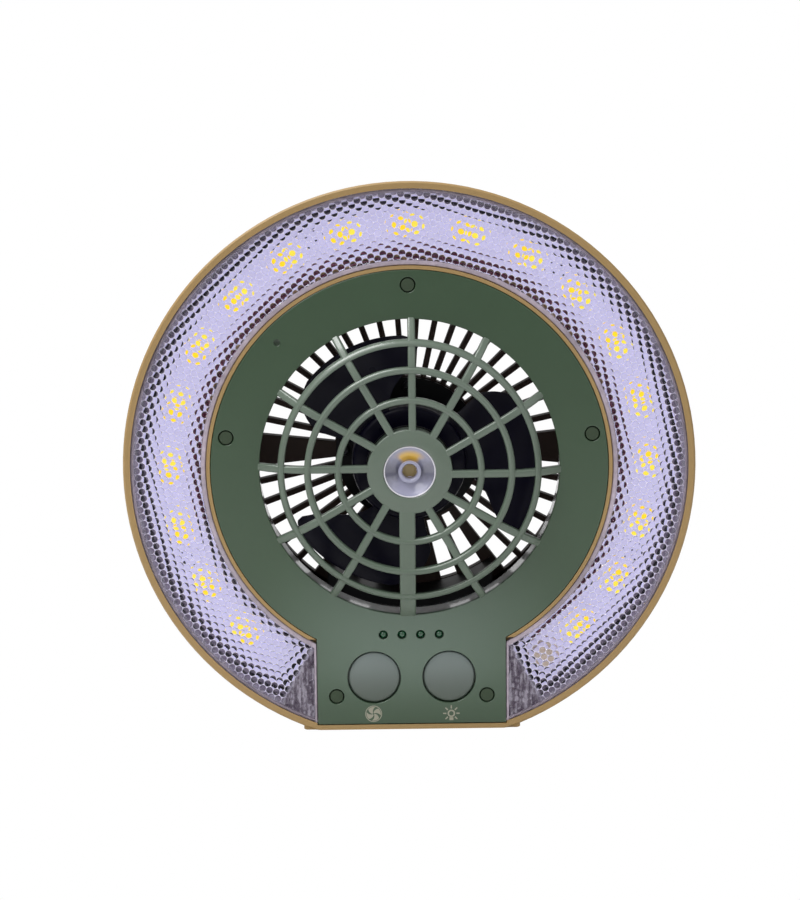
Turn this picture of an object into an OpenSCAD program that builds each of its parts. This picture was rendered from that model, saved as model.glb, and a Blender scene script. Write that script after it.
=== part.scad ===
// Portable camping fan with a ring lamp, a centre spot lamp and a fold-out wire stand.
// Row frame: X to the right, Y to the rear, Z up, origin at the middle of the flat base.
// Pieces are drawn about the fan axis, with local z towards the front, and axial() places them.

/* [Case] */
// Radius of the case at its front rim
rim_r = 105; // [100:0.5:110]
// Height of the fan axis above the flat base
axis_h = 98.6; // [97:0.1:99]
// Depth of the case from the front rim to the rear face
case_depth = 48; // [46:1:54]
// Angle at which the side wall narrows towards the rear
side_taper = 5.5; // [4:0.5:6]
// Wall thickness of both case shells
wall = 2.4; // [2:0.1:3]
// Thickness of the flat base wall
base_wall = 1.8; // [1.6:0.1:2.2]

/* [Panel] */
// Radius of the round part of the green panel
panel_r = 72.9; // [71:0.1:74]
// Half width of the straight lower part of the panel
panel_half_w = 35; // [34:0.1:36]
// Thickness of the panel
panel_t = 2.4; // [2:0.1:3]
// Radius of the fan opening
opening_r = 55; // [54:0.1:56]
// Radius of a push button
button_r = 9.5; // [9:0.1:10]

/* [Guard] */
// Radius of the guard's hub
hub_r = 15.6; // [15:0.1:16.5]
// How far the guard's hub stands in front of the panel
hub_rise = 8.5; // [7:0.5:10]
// Number of spokes
spokes = 12; // [8:2:16]
// Width of a spoke
spoke_w = 2.8; // [2.2:0.1:3.2]
// Width of the bottom spoke, which hides the spot lamp's leads
wide_spoke_w = 5.9; // [5:0.1:7]
// Offset of each spoke from a true radius
spoke_offset = 1.1; // [0:0.1:1.5]

/* [Lamp ring] */
// Radius of the circle on which the chip LEDs sit
led_ring_r = 88.2; // [87:0.1:90]
// Number of LED pairs
led_pairs = 19; // [15:1:19]
// Angle between neighbouring LED pairs
led_pitch = 15; // [12:0.5:15]
// Width of the lamp board
board_w = 17.3; // [13:0.1:18]

/* [Fan] */
// Tip radius of the impeller
tip_r = 48; // [44:0.5:50]
// Radius of the impeller's hub
impeller_hub_r = 21.2; // [20.6:0.1:23]
// Number of blades
blades = 3; // [2:1:3]
// Radius of the motor shaft
shaft_r = 1.5; // [1:0.1:1.8]

/* [Rear grille] */
// Number of slat positions round the rear grille
slat_places = 44; // [36:4:48]
// Width of a slat
slat_w = 2.1; // [1.6:0.1:2.5]
// Depth of a slat
slat_depth = 5; // [4:0.5:5]

/* [Stand] */
// Thickness radius of the stand's wire
wire_r = 2.5; // [2:0.1:2.8]
// Distance of each leg of the stand from the middle
leg_x = 60; // [59:0.5:61]
// Height of the stand's pivot above the fan axis
pivot_rise = 41; // [41:0.5:43]

/* [Hidden] */
$fn = 96;
eps = 0.01;
far = 400;

front_h = case_depth / 2;
rear_h = -case_depth / 2;
split_h = 2;
slope = tan(side_taper);
inner_base_y = -axis_h + base_wall;
foot_half_w = 40.6;
foot_flare = 11;
foot_round = 1.6;
foot_top_y = -95;

panel_back_h = front_h - panel_t;
panel_bottom_y = inner_base_y + 0.3;
channel_gap = 0.25;
inner_wall_t = 1.3;
inner_wall_r = panel_r + channel_gap + inner_wall_t;
inner_wall_h = front_h - 0.1;

lens_top_h = front_h - 0.5;
lens_t = 2.4;
lens_r = rim_r - 2.9;
lens_inner_r = inner_wall_r + 0.2;
lens_end_x = panel_half_w + 1.2;
floor_h = 11.5;
floor_t = 2;
board_t = 1.4;
board_top_h = floor_h + board_t;
led_h = 1;
led_w = 5;
led_l = 5;
led_spacing = 5.2;
board_inner_r = led_ring_r - 0.25 - board_w / 2;
board_end = 150.2;

duct_r = opening_r + 0.5;
duct_low_h = 10;
flare_r = 60.5;
duct_hole_r = 59.2;
duct_cut_half = 44;
duct_t = 1.4;
seat_h = 4;

button_x = 13.9;
button_y = -78.8;
button_gap = 0.4;
button_face_h = front_h + 0.1;
flange_r = button_r + 1.3;
flange_h = 19.6;
switch_top_h = 18.5;
stem_r = 1.7;
main_board_h = 15;
main_board_t = 1.6;
main_half_w = 22.5;
main_low_y = -94;
main_top_y = -59.5;
charge_led_r = 1.5;
charge_led_y = -62.6;
charge_led_step = 6.9;

plug_r = 2.75;
plug_places = [[0, 67.4], [67, 12], [-67, 12], [27.9, -85.9], [-27.9, -85.9]];
panel_screw_seat_h = 19;
case_screw_r = 88;
case_screw_angles = [22, 75, 140, 220, 285, 338];
case_screw_seat_h = -8;
board_screw_places = [[19.5, -62.6], [-19.5, -62.6], [19.5, -91.2], [-19.5, -91.2]];

ring_places = [[26.1, 0], [37.2, 0.2], [47, -1.9]];
bar_t = 3;
guard_h = front_h + hub_rise;
hub_back_h = guard_h - 7;
spot_r = 9.6;
spot_seat_r = spot_r + 0.5;
spot_cap_r = hub_r + 0.4;
pinhole_place = [-47.7, 46.8];
pinhole_r = 0.9;

edge_r = 5;
grille_screw_r = 63.6;
grille_screw_angles = [45, 135, 225, 315];
motor_screw_r = 24.2;
motor_screw_angles = [0, 90, 180, 270];
grille_r = 65.2;
grille_open_r = 62;
grille_front_h = rear_h + slat_depth;
disc_r = 28;
tray_r = 52.5;
tray_half = 37.4;
tray_windows = [[13.3, 20.4], [25, 31.7]];
slat_pitch = 360 / slat_places;

motor_base_t = 2;
pedestal_r = 14;
pedestal_h = -4.5;
tube_r = 4.6;
bearing_r = 4;
tube_top_h = 9;
stator_r = 15.8;
magnet_r = 18.6;
cup_r = 19.6;
hub_front_h = 14;
plate_t = 1.6;
hub_rear_h = -2;
blade_mid_h = 10;
blade_lift = 14;
blade_camber = 1.6;
blade_t = 1.6;
first_blade = 82.7;
clip_h = -9.6;
bearing_l = 4;
bearing_hs = [-8, 4.9];

cell_r = 9.2;
cell_len = 65;
cell_h = -9.4;
cell_ys = [-82.4, -63.7];
tray_half_w = 35.6;
tray_t = 1.4;
tray_low_y = -92.2;
tray_neck = 31;
tray_shoulder_y = -23;
tray_case_r = 98.2;

port_x = 71;
port_board_h = -13.5;
port_pin_places = [[65.5, -16.5], [76.5, -45.5]];
usb_c_y = -23;
usb_a_y = -38;
door_y0 = -46;
door_y1 = -16;
door_x0 = 64.6;
door_x1 = 77.4;
door_gap = 0.35;
door_t = 1.7;
hinge_r = 1.3;
hinge_pin_r = 0.8;
hinge_x = door_x1 + hinge_r;
hinge_h = rear_h - door_gap - hinge_r;

bail_h = rear_h - 0.5 - wire_r;
bail_mid_y = -20;
lug_x0 = 51.5;
lug_x1 = 56.6;
cap_r = 4;
cap_w = 1.4;
cap_gap = 0.4;
cap_x = lug_x0 - cap_gap - cap_w / 2;

function case_r(h) = rim_r - (front_h - h) * slope;
function polar(r, a) = [r * sin(a), r * cos(a)];

module axial() {
    translate([0, 0, axis_h]) rotate([90, 0, 0]) children();
}

module at(p, h = 0) {
    translate([p.x, p.y, h]) children();
}

// Turns a shape that points up to the clock angle a, seen from the front
module clock(a) {
    rotate([0, 0, -a]) children();
}

module slab(h0, h1) {
    translate([0, 0, h0]) linear_extrude(h1 - h0) children();
}

module tube(r_out, r_in, h0, h1) {
    slab(h0, h1) difference() {
        circle(r_out);
        circle(r_in);
    }
}

module rod(p, q, r) {
    v = q - p;
    translate(p) rotate([0, acos(v.z / norm(v)), atan2(v.y, v.x)]) cylinder(r = r, h = norm(v));
}

// Wedge between two clock angles, wide enough to cut a ring
module wedge(a0, a1, r = 200) {
    am = (a0 + a1) / 2;
    polygon([[0, 0], polar(r, a0), polar(r / cos((a1 - a0) / 2), am), polar(r, a1)]);
}

// Tapered case form with its flat base, inset from the outer skin
module case_form(h0, h1, inset = 0, base_inset = 0) {
    intersection() {
        translate([0, 0, h0])
            cylinder(r1 = case_r(h0) - inset, r2 = case_r(h1) - inset, h = h1 - h0);
        translate([-far / 2, -axis_h + base_inset, h0 - 1]) cube([far, far, h1 - h0 + 2]);
    }
}

// Outline of the panel: a disc with a straight-sided foot, grown by a margin
module panel_outline(grow = 0, bottom_y = -far) {
    circle(panel_r + grow);
    translate([-panel_half_w - grow, bottom_y]) square([2 * (panel_half_w + grow), -bottom_y]);
}

module button_place(side) {
    translate([side * button_x, button_y, 0]) children();
}

module screw(head_r, head_t, shank_r, shank_l) {
    cylinder(r = head_r, h = head_t);
    translate([0, 0, -shank_l]) cylinder(r = shank_r, h = shank_l + eps);
}

// ---- case ----

// Rounded foot that widens the flat base towards the front rim
module foot() {
    corner = [for (a = [0 : 22.5 : 90]) [foot_half_w, -axis_h] + foot_round * [cos(a) - 1, 1 - sin(a)]];
    left = [for (i = [len(corner) - 1 : -1 : 0]) [-corner[i].x, corner[i].y]];
    rear_half_w = foot_half_w - foot_flare;
    intersection() {
        slab(split_h, front_h - 0.8)
            polygon(concat([[foot_half_w, foot_top_y]], corner, left, [[-foot_half_w, foot_top_y]]));
        translate([0, foot_top_y + 1, 0]) rotate([90, 0, 0]) linear_extrude(axis_h + foot_top_y + 2)
            polygon([[-rear_half_w, split_h], [rear_half_w, split_h], [foot_half_w, front_h],
                [-foot_half_w, front_h]]);
    }
}

module front_frame() {
    color([0.74, 0.62, 0.40]) axial() {
        difference() {
            union() {
                case_form(split_h, front_h - 0.8);
                translate([0, 0, front_h - 0.8]) intersection() {
                    cylinder(r1 = case_r(front_h - 0.8), r2 = case_r(front_h) - 0.7, h = 0.8);
                    translate([-far / 2, -axis_h, 0]) cube([far, far, 0.8]);
                }
                foot();
            }
            // seat of the lens, outside the wall that holds the panel
            slab(lens_top_h - lens_t, front_h + 1) difference() {
                intersection() {
                    circle(lens_r + 0.2);
                    translate([-far / 2, inner_base_y]) square(far);
                }
                panel_outline(channel_gap + inner_wall_t);
            }
            // lamp channel in front of its floor
            difference() {
                case_form(floor_h, lens_top_h - lens_t + eps, wall + 0.8, base_wall);
                slab(floor_h - 1, front_h) panel_outline(channel_gap + inner_wall_t);
            }
            // space behind the channel floor
            difference() {
                case_form(split_h - 1, floor_h - floor_t, wall, base_wall);
                slab(split_h - 2, floor_h) panel_outline(channel_gap + inner_wall_t);
            }
            // room for the panel and the controls
            slab(seat_h, front_h + 1) intersection() {
                panel_outline(channel_gap);
                translate([-far / 2, inner_base_y]) square(far);
            }
            // inner wall stays low beside the straight foot of the panel
            slab(lens_top_h - lens_t, front_h + 1) intersection() {
                circle(lens_r + 0.2);
                translate([-panel_half_w - 4, -far]) square([2 * panel_half_w + 8, far]);
                difference() {
                    translate([-far / 2, -far]) square([far, far - 64]);
                    translate([-far / 2, -far]) square([far, far + inner_base_y]);
                }
            }
            slab(inner_wall_h, front_h + 1) circle(inner_wall_r + 0.1);
            // fan duct
            slab(split_h - 1, seat_h + 1) circle(duct_hole_r);
            for (p = plug_places) at(p, split_h - 1) cylinder(r = 1.25, h = 4);
        }
        for (p = plug_places) at(p, seat_h - eps) difference() {
            cylinder(r = 4, h = 13.9 - seat_h);
            translate([0, 0, -1]) cylinder(r = 1.25, h = 20);
        }
        for (a = case_screw_angles) at(polar(case_screw_r, a), split_h) difference() {
            cylinder(r = 4, h = floor_h - floor_t - split_h + eps);
            translate([0, 0, -1]) cylinder(r = 1.25, h = 20);
        }
        for (p = board_screw_places) at(p, seat_h - eps) difference() {
            cylinder(r = 2.6, h = main_board_h - main_board_t - seat_h);
            translate([0, 0, 1]) cylinder(r = 0.9, h = 20);
        }
    }
}

// Half section of the rear shell with its rounded rear edge, inset from the outer skin
module rear_section(inset, top_h) {
    bend = edge_r - inset;
    corner = case_r(rear_h + edge_r) - edge_r;
    arc = [for (i = [0 : 6]) [corner + bend * sin(15 * i), rear_h + edge_r - bend * cos(15 * i)]];
    polygon(concat([[0, rear_h + inset]], arc, [[case_r(top_h) - inset, top_h], [0, top_h]]));
}

module rear_form(inset, base_inset, top_h) {
    intersection() {
        rotate_extrude() rear_section(inset, top_h);
        translate([-far / 2, -axis_h + base_inset, rear_h - 1]) cube([far, far, case_depth]);
    }
}

module rear_cover() {
    color([0.74, 0.62, 0.40]) axial() {
        difference() {
            rear_form(0, 0, split_h);
            rear_form(wall, base_wall, split_h + 1);
            translate([0, 0, rear_h - 1]) cylinder(r = grille_open_r, h = wall + 2);
            for (a = case_screw_angles) at(polar(case_screw_r, a), rear_h - 1)
                cylinder(r = 3.2, h = wall + 2);
            for (a = grille_screw_angles) at(polar(grille_screw_r, a), rear_h + 1)
                cylinder(r = 0.75, h = wall, $fn = 24);
            for (side = [-1, 1]) translate([side * cap_x, pivot_rise, rear_h])
                cube([cap_w + 2 * cap_gap, 2 * (cap_r + cap_gap), 2.8], center = true);
            translate([port_x - 1.9, usb_c_y - 4.8, rear_h - 1]) cube([3.8, 9.6, wall + 2]);
            translate([port_x - 3.2, usb_a_y - 6.9, rear_h - 1]) cube([6.4, 13.8, wall + 2]);
        }
        for (a = case_screw_angles) at(polar(case_screw_r, a), rear_h + 1) difference() {
            cylinder(r = 4.8, h = split_h - rear_h - 1);
            translate([0, 0, -1]) cylinder(r = 3.2, h = case_screw_seat_h - rear_h);
            cylinder(r = 1.5, h = far);
        }
        for (p = port_pin_places) {
            at(p, rear_h + 1) cylinder(r = 1.8, h = port_board_h - rear_h - 1, $fn = 32);
            at(p, port_board_h) cylinder(r = 0.8, h = 2.2, $fn = 32);
        }
        for (side = [-1, 1]) bail_lug(side);
        port_lugs();
    }
}

module bail_lug(side) {
    lug_w = lug_x1 - lug_x0;
    x0 = side > 0 ? lug_x0 : -lug_x1;
    difference() {
        union() {
            translate([x0, pivot_rise - 5, bail_h]) cube([lug_w, 10, rear_h - bail_h + 1]);
            translate([x0, pivot_rise, bail_h]) rotate([0, 90, 0]) cylinder(r = 5, h = lug_w);
        }
        translate([x0 - 1, pivot_rise, bail_h]) rotate([0, 90, 0])
            cylinder(r = wire_r + 0.05, h = lug_w + 2);
        translate([x0 - 1, pivot_rise - 8, rear_h + 1]) cube([lug_w + 2, 16, 8]);
    }
}

module port_lugs() {
    for (y = [door_y0 - 2.8, door_y1 + 0.4]) difference() {
        translate([hinge_x - 1.6, y, hinge_h - 1.5]) cube([3.2, 2.4, rear_h - hinge_h + 2.5]);
        translate([hinge_x, y - 1, hinge_h]) rotate([-90, 0, 0]) cylinder(r = hinge_pin_r + 0.05, h = 5);
    }
}

// ---- panel and guard ----

// One guard bar: flat in front of the impeller, then falling to the rim of the opening
module guard_bar(w) {
    outer_r = opening_r + 0.8;
    path = [[hub_r - 1, guard_h - 0.3], [40, guard_h - 0.3], [47, guard_h - 2.2],
        [52, guard_h - 5.2], [outer_r, front_h - 0.2]];
    back = [[outer_r, front_h - panel_t], [opening_r - 0.7, front_h - panel_t], [50.6, guard_h - 5.6 - bar_t],
        [46, guard_h - 2.6 - bar_t], [39.6, guard_h - 0.3 - bar_t], [hub_r - 1, guard_h - 0.3 - bar_t]];
    translate([spoke_offset + w / 2, 0, 0]) rotate([0, -90, 0])
        linear_extrude(w) polygon([for (p = concat(path, back)) [p.y, p.x]]);
}

module guard_ring(r, rise) {
    w = 2.5;
    rotate_extrude() {
        translate([r, guard_h + rise - w / 2]) circle(w / 2, $fn = 32);
        translate([r - w / 2, guard_h + rise - bar_t]) square([w, bar_t - w / 2]);
    }
}

module front_panel() {
    color([0.30, 0.40, 0.31]) axial() difference() {
        union() {
            slab(panel_back_h, front_h) difference() {
                intersection() {
                    panel_outline();
                    translate([-far / 2, panel_bottom_y]) square(far);
                }
                circle(opening_r);
            }
            for (i = [0 : spokes - 1]) clock(i * 360 / spokes)
                guard_bar(i == spokes / 2 ? wide_spoke_w : spoke_w);
            for (p = ring_places) guard_ring(p[0], p[1]);
            translate([0, 0, hub_back_h]) cylinder(r = hub_r, h = guard_h - hub_back_h);
            for (p = plug_places) at(p, 13.9) cylinder(r = 4.2, h = panel_back_h - 13.9 + eps);
        }
        translate([0, 0, hub_back_h - 1]) cylinder(r = hub_r - 1.8, h = 5.4);
        translate([0, 0, hub_back_h]) cylinder(r = spot_seat_r, h = 6);
        translate([0, 0, hub_back_h]) cylinder(r = spot_r, h = 20);
        for (p = plug_places) {
            at(p, panel_screw_seat_h) cylinder(r = plug_r + 0.05, h = 10);
            at(p, 10) cylinder(r = 1.5, h = 20);
        }
        for (side = [-1, 1]) button_place(side) translate([0, 0, panel_back_h - 1])
            cylinder(r = button_r + button_gap, h = panel_t + 2);
        for (i = [-1.5 : 1.5]) translate([i * charge_led_step, charge_led_y, panel_back_h - 1])
            cylinder(r = charge_led_r + 0.15, h = panel_t + 2, $fn = 32);
        at(pinhole_place, panel_back_h - 1) cylinder(r = pinhole_r, h = panel_t + 2, $fn = 32);
    }
}

module screw_plugs() {
    color([0.22, 0.32, 0.24]) axial() for (p = plug_places) at(p, panel_screw_seat_h + 1.9)
        cylinder(r = plug_r, h = front_h - 0.2 - panel_screw_seat_h - 1.9);
}

module panel_screws() {
    color("silver") axial() for (p = plug_places) at(p, panel_screw_seat_h)
        screw(2.5, 1.8, 1.24, 12);
}

// ---- ring lamp ----

module ring_zone(r_out, r_in, end_x, bottom_y) {
    difference() {
        circle(r_out);
        circle(r_in);
        translate([-end_x, -far]) square([2 * end_x, far]);
        translate([-far / 2, bottom_y - far]) square(far);
    }
}

module lamp_lens() {
    color([0.85, 0.85, 0.92, 0.5]) axial() slab(lens_top_h - lens_t, lens_top_h)
        ring_zone(lens_r, lens_inner_r, lens_end_x - 0.9, inner_base_y + 0.3);
}

module lamp_board() {
    color([0.82, 0.80, 0.90]) axial() slab(floor_h, board_top_h) difference() {
        circle(board_inner_r + board_w);
        circle(board_inner_r);
        wedge(board_end, 360 - board_end);
    }
}

module led_pair_places() {
    first = -(led_pairs - 1) / 2 * led_pitch;
    for (i = [0 : led_pairs - 1]) clock(first + i * led_pitch)
        translate([0, led_ring_r, board_top_h]) children();
}

module lamp_leds() {
    color([0.95, 0.80, 0.15]) axial() led_pair_places() for (side = [-1, 1])
        translate([side * led_spacing / 2 - led_w / 2, -led_l / 2, 0]) cube([led_w, led_l, led_h]);
}

module lamp_resistors() {
    color([0.25, 0.25, 0.28]) axial() for (a = [-112.5, -22.5, 37.5, 112.5])
        clock(a) translate([-1, led_ring_r + 1, board_top_h]) cube([2, 1.25, 0.5]);
}

module lamp_connector() {
    color([0.88, 0.80, 0.72]) axial() clock(145.5)
        translate([-3, led_ring_r - 3.5, board_top_h]) cube([6, 7, 4.5]);
}

module lamp_wires() {
    color([0.75, 0.1, 0.12]) axial() for (r = [76.2, 77.9])
        translate([0, 0, floor_h + 0.7]) rotate([0, 0, 90 - 146]) rotate_extrude(angle = 250)
            translate([r, 0]) circle(0.7, $fn = 24);
}

// ---- spot lamp ----

module spot_lens() {
    base_h = hub_back_h + 1.5;
    lip_h = hub_back_h + 6;
    color([0.9, 0.9, 0.95, 0.5]) axial() difference() {
        union() {
            translate([0, 0, lip_h]) cylinder(r = spot_r - 0.05, h = guard_h - 0.3 - lip_h);
            translate([0, 0, lip_h - 1.2]) cylinder(r = spot_seat_r - 0.05, h = 1.2);
            translate([0, 0, base_h]) cylinder(r1 = 5.4, r2 = spot_r - 0.3, h = lip_h - 1.2 - base_h);
        }
        translate([0, 0, base_h - 1]) cylinder(r = 3.8, h = 4.4);
    }
}

module spot_led() {
    color([0.95, 0.80, 0.15]) axial() translate([-2.5, -2.5, hub_back_h + 1]) cube([5, 5, 0.8]);
}

module spot_board() {
    color([0.82, 0.80, 0.90]) axial() translate([0, 0, hub_back_h]) cylinder(r = 9, h = 1);
}

module spot_cap() {
    color([0.10, 0.10, 0.11]) axial() translate([0, 0, hub_back_h - 1.5]) cylinder(r = spot_cap_r, h = 1.5);
}

// Two leads from the spot lamp, behind the wide bottom spoke
module spot_wires() {
    lead_r = 0.55;
    drop = bar_t + 0.3 + lead_r + 0.1;
    color([0.1, 0.1, 0.11]) axial() for (x = [-0.8, 0.8]) {
        rod([x, -hub_r - 0.05, guard_h - drop], [x, -39.4, guard_h - drop], lead_r);
        rod([x, -39.4, guard_h - drop], [x, -50.4, guard_h - drop - 5.2], lead_r);
    }
}

// ---- controls ----

module push_button(side) {
    color([0.44, 0.45, 0.45]) axial() button_place(side) {
        translate([0, 0, flange_h]) cylinder(r = button_r, h = button_face_h - flange_h);
        translate([0, 0, flange_h]) cylinder(r = flange_r, h = 1.2);
    }
}

module fan_button() { push_button(-1); }
module light_button() { push_button(1); }

module switch_stem(side) {
    color([0.12, 0.12, 0.12]) axial() button_place(side)
        translate([0, 0, 17]) cylinder(r = stem_r, h = flange_h - 17);
}

module fan_switch_stem() { switch_stem(-1); }
module light_switch_stem() { switch_stem(1); }

module switch_bodies() {
    color([0.15, 0.15, 0.16]) axial() for (side = [-1, 1]) button_place(side) difference() {
        translate([-3, -3, main_board_h]) cube([6, 6, switch_top_h - main_board_h]);
        translate([0, 0, 16]) cylinder(r = stem_r + 0.05, h = 5);
    }
}

module main_board() {
    color([0.08, 0.35, 0.18]) axial() slab(main_board_h - main_board_t, main_board_h) difference() {
        translate([-main_half_w, main_low_y]) square([2 * main_half_w, main_top_y - main_low_y]);
        for (p = board_screw_places) translate(p) circle(1.1, $fn = 32);
    }
}

module board_parts() {
    back_h = main_board_h - main_board_t;
    color([0.12, 0.12, 0.14]) axial() {
        translate([-13, -72, back_h - 3]) cube([7, 7, 3]);
        translate([1, -74, back_h - 1.4]) cube([5, 6, 1.4]);
        translate([10, -80, back_h - 4.2]) cylinder(r = 2.5, h = 4.2);
        translate([-12, -86, back_h - 1.4]) cube([10, 4, 1.4]);
    }
}

module board_screws() {
    color("silver") axial() for (p = board_screw_places) at(p, main_board_h)
        screw(1.9, 1.2, 0.89, 6);
}

module charge_leds() {
    color([0.05, 0.35, 0.2]) axial() for (i = [-1.5 : 1.5])
        translate([i * charge_led_step, charge_led_y, main_board_h]) {
            cylinder(r = charge_led_r, h = 7.2, $fn = 32);
            translate([0, 0, 7.2]) sphere(charge_led_r, $fn = 32);
        }
}

module case_screws() {
    color("silver") axial() for (a = case_screw_angles) at(polar(case_screw_r, a), case_screw_seat_h)
        rotate([180, 0, 0]) screw(2.8, 1.8, 1.24, 16);
}

// ---- air path ----

// Collar behind the panel, which flares towards the rear grille and leaves room for the cells
module duct_ring() {
    inner = [[duct_r, panel_back_h], [duct_r, duct_low_h], [flare_r, grille_front_h]];
    outer = [for (i = [len(inner) - 1 : -1 : 0]) inner[i] + [duct_t, 0]];
    color([0.35, 0.35, 0.37]) axial() difference() {
        rotate_extrude() polygon(concat(inner, outer));
        slab(rear_h, split_h) wedge(180 - duct_cut_half, 180 + duct_cut_half);
    }
}

module rear_slats() {
    lower = 180 - tray_half;
    difference() {
        circle(grille_open_r - 0.1);
        difference() {
            circle(grille_open_r - 2);
            circle(disc_r);
            for (i = [0 : slat_places - 1]) {
                a = (i + 0.5) * slat_pitch;
                if (abs(a - 180) > tray_half) clock(a)
                    translate([-slat_w / 2, 0]) square([slat_w, grille_r]);
            }
            for (a = [90, 270]) wedge(a - 6.2, a + 6.2);
            wedge(lower, 360 - lower);
        }
        for (side = [-1, 1]) for (window = tray_windows) intersection() {
            difference() {
                circle(tray_r - 0.2);
                circle(disc_r + 1);
            }
            wedge(180 + min(side * window[0], side * window[1]),
                180 + max(side * window[0], side * window[1]));
        }
    }
}

module rear_grille() {
    color([0.16, 0.12, 0.10]) axial() difference() {
        union() {
            slab(rear_h + 0.1, grille_front_h) rear_slats();
            tube(grille_r, grille_open_r - 2, rear_h + wall, grille_front_h);
        }
        for (a = grille_screw_angles) clock(a) translate([0, grille_screw_r, rear_h])
            cylinder(r = 0.75, h = 9, $fn = 24);
        for (a = motor_screw_angles) clock(a) translate([0, motor_screw_r, grille_front_h - 3.5])
            cylinder(r = 0.9, h = 9, $fn = 24);
    }
}

module grille_screws() {
    color("silver") axial() for (a = grille_screw_angles) clock(a)
        translate([0, grille_screw_r, grille_front_h]) screw(1.45, 1, 0.74, 3.4);
}

// ---- motor and fan wheel ----

module motor_base() {
    color([0.06, 0.06, 0.065]) axial() difference() {
        union() {
            translate([0, 0, grille_front_h]) cylinder(r = disc_r - 0.5, h = motor_base_t);
            translate([0, 0, grille_front_h]) cylinder(r = pedestal_r, h = pedestal_h - grille_front_h);
            translate([0, 0, grille_front_h]) cylinder(r = tube_r, h = tube_top_h - grille_front_h);
        }
        difference() {
            translate([0, 0, grille_front_h - 1])
                cylinder(r = pedestal_r - 1.6, h = pedestal_h - grille_front_h - 0.8);
            cylinder(r = tube_r, h = 60, center = true);
        }
        translate([0, 0, bearing_hs[0]]) cylinder(r = bearing_r, h = 30);
        translate([0, 0, -12]) cylinder(r = 2.6, h = 10);
        for (a = motor_screw_angles) clock(a) translate([0, motor_screw_r, grille_front_h - 1])
            cylinder(r = 1.1, h = 9, $fn = 24);
    }
}

module motor_screws() {
    color("silver") axial() for (a = motor_screw_angles) clock(a)
        translate([0, motor_screw_r, grille_front_h + motor_base_t]) screw(2.1, 1.4, 0.89, 5);
}

module motor_board() {
    color([0.08, 0.30, 0.16]) axial() tube(17, tube_r, pedestal_h, pedestal_h + 1.2);
}

module stator_core() {
    color([0.55, 0.56, 0.58]) axial() slab(1, 10) {
        difference() {
            circle(8.2);
            circle(tube_r);
        }
        for (i = [0 : 8]) clock(i * 40) {
            translate([-1.3, 7.5]) square([2.6, 6.5]);
            intersection() {
                difference() {
                    circle(stator_r);
                    circle(stator_r - 1.9);
                }
                wedge(-16, 16);
            }
        }
    }
}

module stator_coils() {
    color([0.72, 0.42, 0.20]) axial() for (i = [0 : 8]) clock(i * 40) difference() {
        translate([-2.3, 9, 0]) cube([4.6, 4.4, 11]);
        translate([-1.3, 8, 1]) cube([2.6, 7, 9]);
    }
}

module motor_bearings() {
    color([0.70, 0.70, 0.72]) axial() for (h = bearing_hs)
        tube(bearing_r, shaft_r + 0.04, h, h + bearing_l);
}

module motor_shaft() {
    shaft_low_h = clip_h - 1;
    color([0.80, 0.80, 0.82]) axial() difference() {
        translate([0, 0, shaft_low_h]) cylinder(r = shaft_r, h = hub_front_h - plate_t - shaft_low_h);
        tube(shaft_r + 1, shaft_r - 0.4, clip_h, clip_h + 0.5);
    }
}

module shaft_clip() {
    color([0.6, 0.6, 0.62]) axial() difference() {
        translate([0, 0, clip_h]) cylinder(r = 2.2, h = 0.5, $fn = 48);
        translate([0, 0, clip_h - 1]) cylinder(r = shaft_r - 0.4, h = 2, $fn = 48);
        translate([-0.7, 0, clip_h - 1]) cube([1.4, 5, 2]);
    }
}

module rotor_cup() {
    color([0.62, 0.63, 0.66]) axial() {
        tube(cup_r, magnet_r, -1, hub_front_h - plate_t);
        tube(cup_r, 3, hub_front_h - plate_t - 1, hub_front_h - plate_t);
    }
}

module rotor_magnet() {
    color([0.18, 0.18, 0.20]) axial() tube(magnet_r, 16.4, 0, 10.5);
}

// Clock angles of a blade's two edges, from the blade's middle, at radius r
rear_line = [[18, -36], [36, -35.4], [40.5, -31], [44, -26.5], [46.5, -21.5], [48, -14]];
front_line = [[18, 14], [24, 20], [28.6, 26], [34, 35], [38, 39.5], [44, 42], [46.5, 41], [48, 35]];

// Place on a blade's middle surface at radius r and share t from its rear edge to its front edge
function blade_place(r, t) =
    let (a = lookup(r, rear_line) * (1 - t) + lookup(r, front_line) * t, p = polar(r, a))
    [p.x, p.y, blade_mid_h + blade_lift * (a - 2) / 78 - blade_camber * sin(180 * t)];

// A blade is a twisted sheet: its height rises with the clock angle and it is cambered
module blade() {
    rings = 9;
    steps = 10;
    row = steps + 1;
    total = row * (rings + 1);
    root_r = impeller_hub_r - 1;
    sheet = function(lift) [for (i = [0 : rings]) for (j = [0 : steps])
        blade_place(root_r + (tip_r - root_r) * sin(90 * i / rings), j / steps) + [0, 0, lift]];
    top = [for (i = [0 : rings - 1]) for (j = [0 : steps - 1])
        let (a = i * row + j, b = a + row)
        for (t = [[a, b, b + 1], [a, b + 1, a + 1]]) t];
    bottom = [for (t = top) [t[2] + total, t[1] + total, t[0] + total]];
    loop = concat([for (j = [0 : steps - 1]) j], [for (i = [0 : rings - 1]) i * row + steps],
        [for (j = [steps : -1 : 1]) rings * row + j], [for (i = [rings : -1 : 1]) i * row]);
    side = [for (k = [0 : len(loop) - 1])
        let (a = loop[k], b = loop[(k + 1) % len(loop)])
        for (t = [[a, b, b + total], [a, b + total, a + total]]) t];
    polyhedron(concat(sheet(blade_t / 2), sheet(-blade_t / 2)), concat(top, bottom, side));
}

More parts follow.
